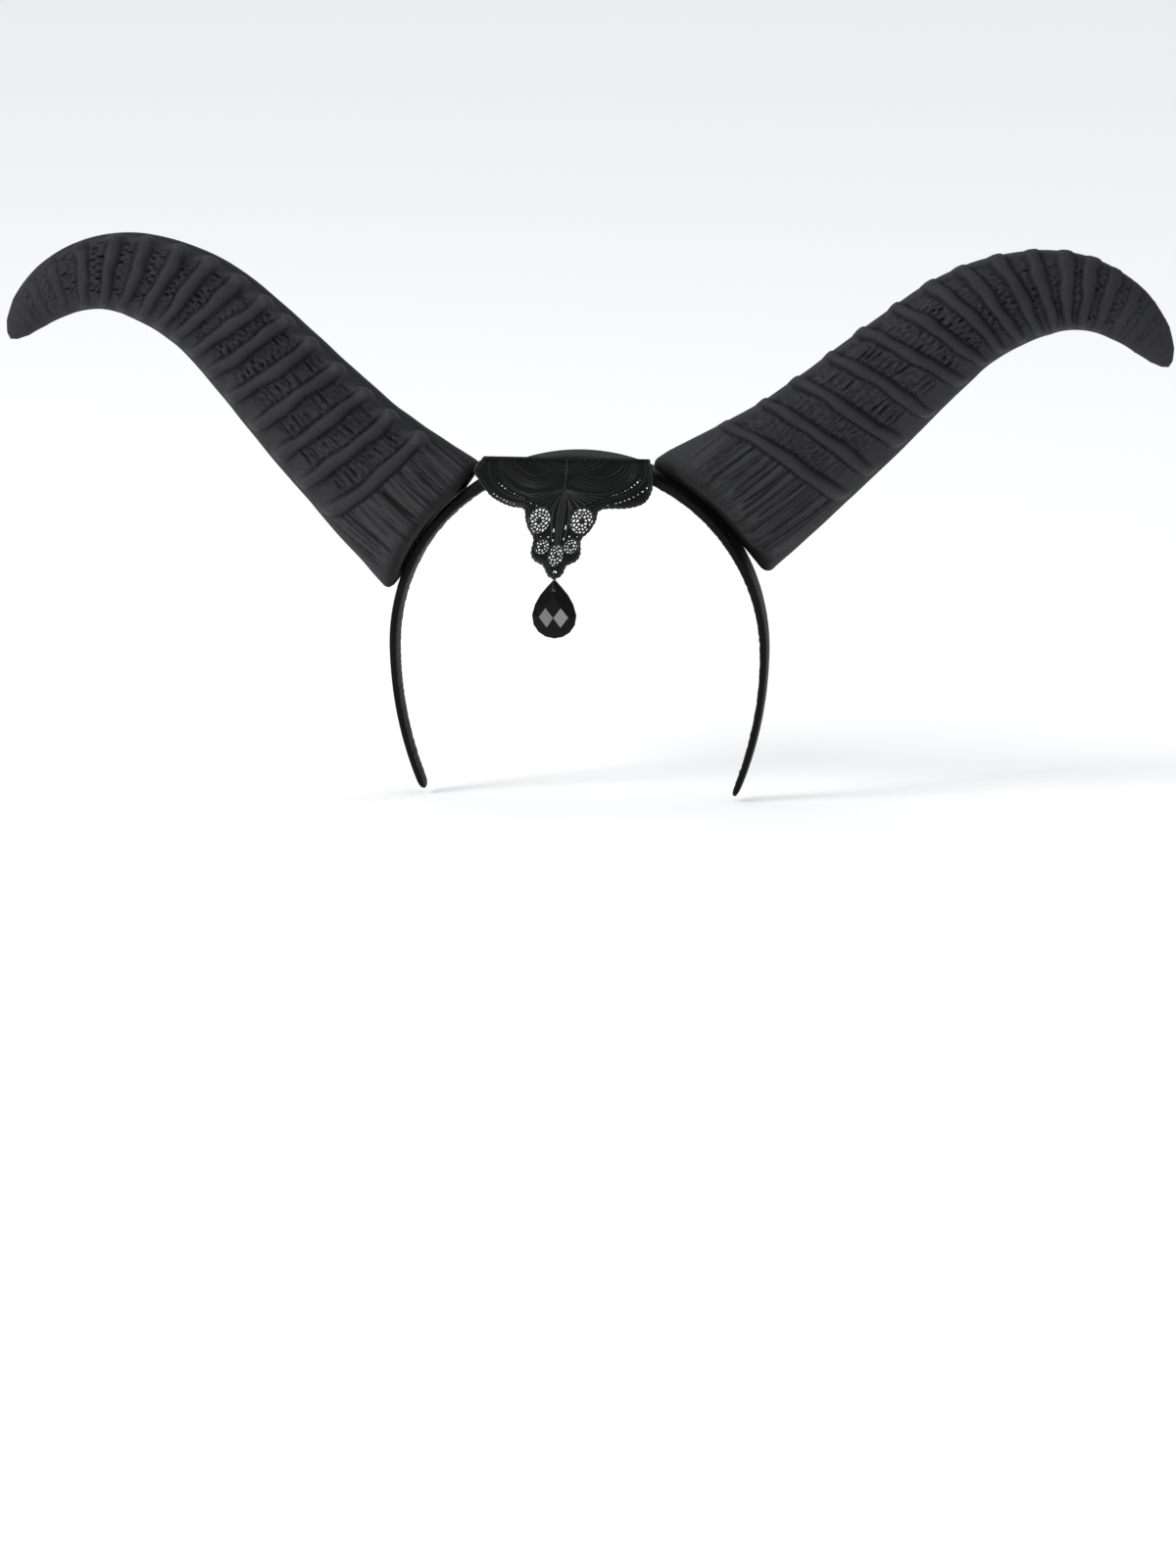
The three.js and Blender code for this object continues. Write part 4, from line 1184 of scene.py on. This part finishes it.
eyelets = [eyelet for row in eyelet_rows for eyelet in row_of_eyelets(*row)]
holes = [*meshes, *eyelets, *[hole(*place) for place in single_holes]]
thread_hole = hole(0, 58.2, 1.7, 2.3)
print("holes in the lace:", len(holes) + 1, "of which meshes:", len(meshes))

# %% [markdown]
# Bending the lace.
# Worn, the motif hangs straight down the front edge of the hoop, folds forward where the
# hoop ends, and then slopes down in front of the hoop, leaning 52 degrees forward and
# less towards its tip. A cloth simulation could drape it, but stiff embroidery keeps the
# form that it is given, and the photo shows that form. The bend only depends on how far
# down a place is, so one rule can bend every part of the lace.

# %% Rule that bends the lace
LACE_TOP = 4.9
LACE_OFFSET = -3
LACE_FOLD_RADIUS = 10
LACE_LEAN = math.radians(52)
LACE_CROWN_RADIUS = 197
LACE_GROUND_LIFT = 0.42


def worn(across, down, lift):
    """Places on the worn lace of places on the flat one, at a height over its back."""
    x = across + LACE_OFFSET
    share = np.minimum(np.abs(x) / (BAND_HALF_SPAN - BAND_THICKNESS / 2), 0.95)
    inner = BAND_CENTRE_Z + (BAND_RISE - BAND_THICKNESS / 2) * np.sqrt(1 - share ** 2)
    fold_at = LACE_TOP - (inner + BAND_THICKNESS / 2)
    free = np.maximum(down - fold_at, 0)
    in_fold = np.minimum(free, LACE_FOLD_RADIUS * LACE_LEAN) / LACE_FOLD_RADIUS
    on_crown = np.maximum(free - LACE_FOLD_RADIUS * LACE_LEAN, 0) / LACE_CROWN_RADIUS
    tilt = in_fold - on_crown
    y = -BAND_WIDTH / 2 - SEAT_GAP - LACE_FOLD_RADIUS * (1 - np.cos(in_fold))
    y -= LACE_CROWN_RADIUS * (np.cos(LACE_LEAN - on_crown) - math.cos(LACE_LEAN))
    z = LACE_TOP - np.minimum(down, fold_at) - LACE_FOLD_RADIUS * np.sin(in_fold)
    z -= LACE_CROWN_RADIUS * (math.sin(LACE_LEAN) - np.sin(LACE_LEAN - on_crown))
    return np.stack([x, y - lift * np.cos(tilt), z + lift * np.sin(tilt)], axis=-1)


def bend_piece(piece):
    """Bends a flat piece, whose x is across, y is down and z is the height, in millimetres."""
    flat = np.empty(len(piece.data.vertices) * 3)
    piece.data.vertices.foreach_get("co", flat)
    across, down, lift = flat.reshape(-1, 3).T
    piece.data.vertices.foreach_set("co", (worn(across, down, lift) * MM).reshape(-1))
    piece.data.update()


print("tip of the worn lace at", worn(np.zeros(1), np.full(1, LACE_DROP), np.zeros(1)).round(1))

# %% Ground of the lace
def loops_curve(name, loops):
    """A filled flat curve of closed loops, in which the inner loops are holes."""
    drawing = bpy.data.curves.new(name, "CURVE")
    drawing.dimensions = "2D"
    drawing.fill_mode = "BOTH"
    for loop in loops:
        spline = drawing.splines.new("POLY")
        spline.points.add(len(loop) - 1)
        places = np.c_[loop, np.zeros(len(loop)), np.ones(len(loop))]
        spline.points.foreach_set("co", places.reshape(-1))
        spline.use_cyclic_u = True
    made = bpy.data.objects.new(name, drawing)
    bpy.context.collection.objects.link(made)
    return made


def select_only(piece):
    """Makes a piece the only selected and the active one."""
    bpy.ops.object.select_all(action="DESELECT")
    piece.select_set(True)
    bpy.context.view_layer.objects.active = piece


def cut_across(piece, places, direction):
    """Cuts a flat piece along lines, so that it can bend there."""
    select_only(piece)
    bpy.ops.object.mode_set(mode="EDIT")
    for place in places:
        bpy.ops.mesh.select_all(action="SELECT")
        bpy.ops.mesh.bisect(plane_co=Vector(direction) * float(place), plane_no=direction)
    bpy.ops.object.mode_set(mode="OBJECT")


GROUND_THICKNESS = 0.5
BEND_SPACING = 1.1
CUT_SPACING = 4
lace_ground = loops_curve("lace_ground", [lace_edge, *holes, thread_hole])
select_only(lace_ground)
bpy.ops.object.convert(target="MESH")
cut_across(lace_ground, np.arange(BEND_SPACING, LACE_DROP, BEND_SPACING), (0, 1, 0))
cut_across(lace_ground, np.arange(-38, 38, CUT_SPACING), (1, 0, 0))


def finish_with(piece, kind, **settings):
    """Adds a modifier and applies it."""
    select_only(piece)
    modifier = piece.modifiers.new(kind.lower(), kind)
    for setting, value in settings.items():
        setattr(modifier, setting, value)
    bpy.ops.object.modifier_apply(modifier=modifier.name)


for vertex in lace_ground.data.vertices:
    vertex.co.z = LACE_GROUND_LIFT
bend_piece(lace_ground)
finish_with(lace_ground, "SOLIDIFY", thickness=GROUND_THICKNESS * MM, offset=0)

# %% [markdown]
# The cords.
# What shows most on the lace is its raised stitching: a thick edge all round, arcs that
# sweep round each wing of the fan, ribs that spread like a palm leaf under the middle,
# bars down the tail and a ring round every net and its eye. Bumps alone would look
# printed on. So each is a curve with a round section, which swells and thins as a stitch
# does, drawn flat and bent with the same rule.

# %% Cords of the lace
def cords_piece(name, cords, corners=2):
    """One mesh of round cords. Each has places in millimetres, a radius, and True if it is a ring."""
    drawing = bpy.data.curves.new(name, "CURVE")
    drawing.dimensions = "3D"
    drawing.bevel_depth = 1
    drawing.bevel_resolution = corners
    drawing.use_fill_caps = True
    for places, radius, ring in cords:
        spline = drawing.splines.new("POLY")
        spline.points.add(len(places) - 1)
        spline.points.foreach_set("co", np.c_[places, np.ones(len(places))].reshape(-1))
        radii = np.broadcast_to(radius, len(places))
        spline.points.foreach_set("radius", radii.astype(np.float32))
        spline.use_cyclic_u = ring
    made = bpy.data.objects.new(name, drawing)
    bpy.context.collection.objects.link(made)
    select_only(made)
    bpy.ops.object.convert(target="MESH")
    return bpy.context.object


def lifted(places, lift):
    """Flat places at one height over the back of the lace."""
    return np.c_[places, np.full(len(places), lift)]


def swelling(count, thin, thick):
    """Radii that start thin, swell in the middle and end thin."""
    share = np.linspace(0, 1, count)
    return thin + (thick - thin) * np.sin(math.pi * share) ** 0.5


def add_cord(line, lift, radii, ring=False):
    """Adds a cord along a flat line at a height over the back of the lace."""
    cords.append((lifted(line, lift), radii, ring))


cords = []
add_cord(pulled_in(lace_edge, 0.55), 0.62, 0.55, True)
add_cord(pulled_in(lace_edge, 1.75), 0.75, 0.24, True)
print("edge cords:", len(cords))

# %% Arcs of the two leaves of the fan and of the shell at the top of its middle
CORD_SPACING = 0.7
BAR_SPACING = 0.8
LEAF_SHARES = (1.0, 0.93, 0.86, 0.78, 0.68, 0.55)
left_leaf = [
    (-1.6, 10.4), (-5.8, 13.7), (-11.9, 15.1), (-18.1, 13.0), (-24.3, 8.5), (-28.2, 4.0), (-28.6, 1.0)]
right_leaf = [
    (0.8, 11.6), (6.6, 15.2), (14.3, 15.8), (22.0, 13.0), (28.4, 7.9), (30.0, 4.0), (29.0, 1.0)]
shell = [(-9.6, 0.6), (-5.2, 3.0), (0, 4.0), (5.2, 3.0), (9.4, 0.6)]
nested_arcs = [
    # outline, the point that its copies shrink or grow from, sizes of the copies
    (left_leaf, (-14.5, 0.8), LEAF_SHARES),
    (right_leaf, (15.0, 0.8), LEAF_SHARES),
    (shell, (0, 0.6), (0.75, 1.0, 1.3, 1.6, 1.95)),
]
for line, focus, shares in nested_arcs:
    for number, share in enumerate(shares):
        arc = smooth_through(focus + (np.array(line) - focus) * share, CORD_SPACING)
        add_cord(arc, 0.68, swelling(len(arc), 0.1, 0.3 if number % 2 else 0.2))
print("cords with these arcs:", len(cords))

# %% Long arcs round the wings
wing_arc = np.array([(1.0, 2.0), (0.97, 8.5), (0.8, 14.6), (0.58, 18.4), (0.4, 20.6)])
wing_sizes = [
    # reach sideways, how low it hangs
    (27.4, 0.98),
    (28.6, 1.0),
    (33.0, 1.12),
]
for side in (-1, 1):
    for reach, low in wing_sizes:
        line = wing_arc * (side * reach, low)
        line[0, 1] = wing_arc[0, 1]
        arc = smooth_through(line, CORD_SPACING)
        add_cord(arc, 0.68, swelling(len(arc), 0.1, 0.24))
print("cords with the long arcs:", len(cords))

# %% Ribs of the palm leaf, bars of the tail and rims of the net fields
LACE_HEART = np.array([-0.3, 15.6])
palm_ribs = [
    # end across, end down, bow
    (15.5, 18.6, 1.2),
    (14.8, 20.4, 1.3),
    (13.6, 22.0, 1.2),
    (11.8, 23.4, 1.0),
    (9.6, 24.8, 0.8),
    (7.2, 26.2, 0.5),
    (4.9, 28.4, 0.2),
]
tail_bars = [
    # across, top, end
    (1.1, 17, 44.5),
    (3.5, 20, 43.0),
]
for side in (-1, 1):
    for across, down, bow in palm_ribs:
        end = np.array([side * across, down])
        middle = (LACE_HEART + end) / 2 + (side * bow * 0.6, bow * 0.9)
        rib = smooth_through([LACE_HEART + (side * 0.5, 0.4), middle, end], CORD_SPACING)
        add_cord(rib, 0.72, np.linspace(0.2, 0.46, len(rib)))
    for across, top, end in tail_bars:
        x = side * across
        line = [(x * 0.4, top), (x * 0.95, top + 7), (x, 34), (x * 0.75, end)]
        bar = smooth_through(line, BAR_SPACING)
        add_cord(bar, 0.74, swelling(len(bar), 0.22, 0.52))
spine = smooth_through([(0.1, 1.0), (-0.1, 8), (0, 17), (0, 34), (-0.1, 45)], BAR_SPACING)
add_cord(spine, 0.78, swelling(len(spine), 0.3, 0.46))
RIM_OUTSIDE = 0.3
RIM_RADIUS = 0.34
EYE_RADIUS = 0.5
for across, down, half, rings in net_fields:
    rim_half = (half[0] + RIM_OUTSIDE, half[1] + RIM_OUTSIDE)
    add_cord(ring_at(across, down, 1, rim_half), 0.7, RIM_RADIUS, True)
    add_cord(ring_at(across, down, EYE_RADIUS, count=12), 0.66, RIM_RADIUS, True)
lace_cords = cords_piece("lace_cords", cords)
bend_piece(lace_cords)
print("cords of the lace:", len(cords), "and", len(lace_cords.data.polygons), "faces")

# %% Threads of the net fields
# A thin thread goes round every mesh, so that two lie side by side between meshes
net_threads = [(lifted(pulled_in(mesh, -0.08), 0.55), 0.17, True) for mesh in meshes]
lace_net = cords_piece("lace_net_threads", net_threads, corners=1)
bend_piece(lace_net)
print("net threads:", len(net_threads))

# %% Join the lace to the headpiece
for piece in (lace_ground, lace_cords, lace_net):
    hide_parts("lace_motif")
    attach(piece, "headpiece")
    select_only(piece)
    bpy.ops.object.shade_smooth_by_angle(angle=math.radians(40))
print("flat size of the lace:", 2 * LACE_HALF_WIDTH, "by", LACE_DROP, "mm")

# %% [markdown]
# The finish of the lace.
# Embroidery thread is black rayon: the cords have a soft shine and the ground is duller.
# The stitches run across each cord, far too fine to model one by one. A wave would look
# like a printed pattern, so fine noise, stretched to short streaks, makes the threads.

# %% Embroidery thread
thread_bump = (0.6, 0.12 * MM)
embroidery, *_ = speckled_finish(
    "black_embroidery", 0.5, (2200, 2, (1, 1, 0.35)), [(13, 14, 14), (27, 28, 28)], thread_bump,
    Specular_IOR_Level=0.35, Sheen_Weight=0.06, Sheen_Roughness=0.35)
ground_cloth, *_ = speckled_finish(
    "black_lace_ground", 0.8, (1700, 2), [(8, 9, 9), (18, 19, 19)], thread_bump,
    Specular_IOR_Level=0.15)
lace_cords.data.materials.append(embroidery)
lace_net.data.materials.append(embroidery)
lace_ground.data.materials.append(ground_cloth)
print("finishes of the lace:", embroidery.name, "and", ground_cloth.name)

# %% [markdown]
# The drop.
# The black pear is cut from acrylic like a gem. It could be carved again from a ball, but
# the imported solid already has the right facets. So it is copied, its loose triangles are
# merged back into flat facets, and its edges get the hair-thin bevel that polishing
# leaves, which catches the light.

# %% Cut drop
POLISHED_EDGE = 0.09
FLAT_WITHIN = math.radians(1)
EDGE_FROM = math.radians(6)
drop = bpy.data.objects.new("pear_drop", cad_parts["pear_stone"].data.copy())
bpy.context.collection.objects.link(drop)
drop.matrix_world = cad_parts["pear_stone"].matrix_world.copy()
select_only(drop)
bpy.ops.object.transform_apply(location=True, rotation=True, scale=True)
drop.data.materials.clear()
bpy.ops.object.mode_set(mode="EDIT")
bpy.ops.mesh.select_all(action="SELECT")
bpy.ops.mesh.remove_doubles(threshold=MERGE_WITHIN)
bpy.ops.mesh.dissolve_limited(angle_limit=FLAT_WITHIN)
bpy.ops.mesh.normals_make_consistent(inside=False)
bpy.ops.object.mode_set(mode="OBJECT")
finish_with(
    drop, "BEVEL", width=POLISHED_EDGE * MM, segments=1, limit_method="ANGLE", angle_limit=EDGE_FROM)
select_only(drop)
bpy.ops.object.shade_flat()
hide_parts("pear_stone")
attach(drop, "pendant")
acrylic, *_ = speckled_finish(
    "polished_black_acrylic", 0.05, (300, 3), [(4, 4, 4), (9, 9, 9)], Specular_IOR_Level=0.12)
drop.data.materials.append(acrylic)
print("drop facets:", len(drop.data.polygons))

# %% [markdown]
# The glint of the drop.
# Two of the large facets lean down and outwards, and in the photo they mirror something
# bright. Each gets a small lamp of its own in the direction that it mirrors towards the
# camera. The lamps are linked to the drop alone, so they light nothing else.

# %% Lamps for the two facets
GLINT_SIZE = 0.032
GLINT_AWAY = 0.15
GLINT_POWER = 0.07
glint_lamps = [
    # name, degrees round to the right, degrees down, share of the power
    ("right_glint", 16.5, 25.8, 1.1),
    ("left_glint", -34.0, 24.7, 0.9),
]
DROP_FRONT = -54.5
DROP_HEIGHT = -55
drop_middle = Vector((LACE_OFFSET, DROP_FRONT, DROP_HEIGHT)) * MM
drop_only = bpy.data.collections.new("drop_only")
drop_only.objects.link(drop)
for name, side, down, share in glint_lamps:
    side, down = math.radians(side), math.radians(down)
    level = math.cos(down)
    toward = Vector((math.sin(side) * level, -math.cos(side) * level, -math.sin(down)))
    place = drop_middle + toward * GLINT_AWAY
    lamp = soft_lamp(name, place, drop_middle, GLINT_SIZE, GLINT_POWER * share)
    lamp.light_linking.receiver_collection = drop_only
print("glint lamps:", [name for name, *_ in glint_lamps])

# %% [markdown]
# The thread.
# The drop hangs on black sewing thread of two plies. The loop goes through the hole in the
# lace's tip and through the hole in the drop. One smooth ring would look like wire, so
# two thin strands are wound round the loop's path, which is what makes it a thread.

# %% Path of the loop
LACE_BAR = 1.6
LACE_THICKNESS = 1.2
THREAD_RADIUS = 0.35
THREAD_CLEARANCE = 0.4
THREAD_ROUNDING = 0.8
STONE_TIP_GAP = 1.6
STONE_HOLE_DROP = 3.6
LOOP_POINTS = 260

low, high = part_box("thread_loop")
top_radius = math.hypot(LACE_BAR, LACE_THICKNESS) / 2 + THREAD_CLEARANCE + THREAD_RADIUS
foot_half = (high.y - low.y) / MM / 2 - THREAD_RADIUS
foot = -(STONE_TIP_GAP + STONE_HOLE_DROP)
over = np.radians(np.linspace(-90, 90, 25))
under = np.radians(np.linspace(0, 90, 9))
corner_y = foot_half - THREAD_ROUNDING + THREAD_ROUNDING * np.cos(under)
corner_z = foot + THREAD_ROUNDING - THREAD_ROUNDING * np.sin(under)
loop_path = np.concatenate([
    np.stack([top_radius * np.sin(over), top_radius * np.cos(over)], 1),
    np.stack([corner_y, corner_z], 1),
    np.stack([-corner_y, corner_z], 1)[::-1],
])
loop_path = np.concatenate([loop_path, loop_path[:1]])
walked = np.concatenate([[0], np.cumsum(np.linalg.norm(np.diff(loop_path, axis=0), axis=1))])
stops = np.linspace(0, walked[-1], LOOP_POINTS, endpoint=False)
ring_y = np.interp(stops, walked, loop_path[:, 0])
ring_z = np.interp(stops, walked, loop_path[:, 1])
print("loop of thread:", round(float(walked[-1]), 1), "mm round")

# %% Wind the two plies
PLY_TURNS = 13
PLY_RADIUS = THREAD_RADIUS / 2
ahead_y = np.roll(ring_y, -1) - np.roll(ring_y, 1)
ahead_z = np.roll(ring_z, -1) - np.roll(ring_z, 1)
ahead = np.hypot(ahead_y, ahead_z)
hinge = worn(np.zeros(1), np.full(1, LACE_DROP - LACE_BAR / 2), np.full(1, LACE_THICKNESS / 2))[0]
plies = []
for phase in (0, math.pi):
    winding = 2 * math.pi * PLY_TURNS * stops / walked[-1] + phase
    outwards = np.sin(winding) * PLY_RADIUS
    ply_y, ply_z = ring_y + outwards * ahead_z / ahead, ring_z - outwards * ahead_y / ahead
    ply = np.stack([np.cos(winding) * PLY_RADIUS, ply_y, ply_z], 1)
    plies.append((ply + hinge, PLY_RADIUS, True))
sewing_thread = cords_piece("sewing_thread", plies)
select_only(sewing_thread)
bpy.ops.transform.resize(value=(MM, MM, MM), center_override=(0, 0, 0))
bpy.ops.object.transform_apply(location=True, rotation=True, scale=True)
bpy.ops.object.shade_smooth()
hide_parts("thread_loop")
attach(sewing_thread, "pendant")
print("plies:", len(plies), "faces:", len(sewing_thread.data.polygons))

# %% [markdown]
# The finish of the thread.
# Spun thread is duller than embroidery rayon, and its loose fibres give it a faint sheen
# at the edges.

# %% Cotton thread
cotton, *_ = speckled_finish(
    "black_sewing_thread", 0.75, (3000, 2), [(18, 18, 18), (34, 34, 33)], (0.5, 0.06 * MM),
    Specular_IOR_Level=0.3, Sheen_Weight=0.25, Sheen_Roughness=0.4)
sewing_thread.data.materials.append(cotton)
print("finish of the thread:", cotton.name)
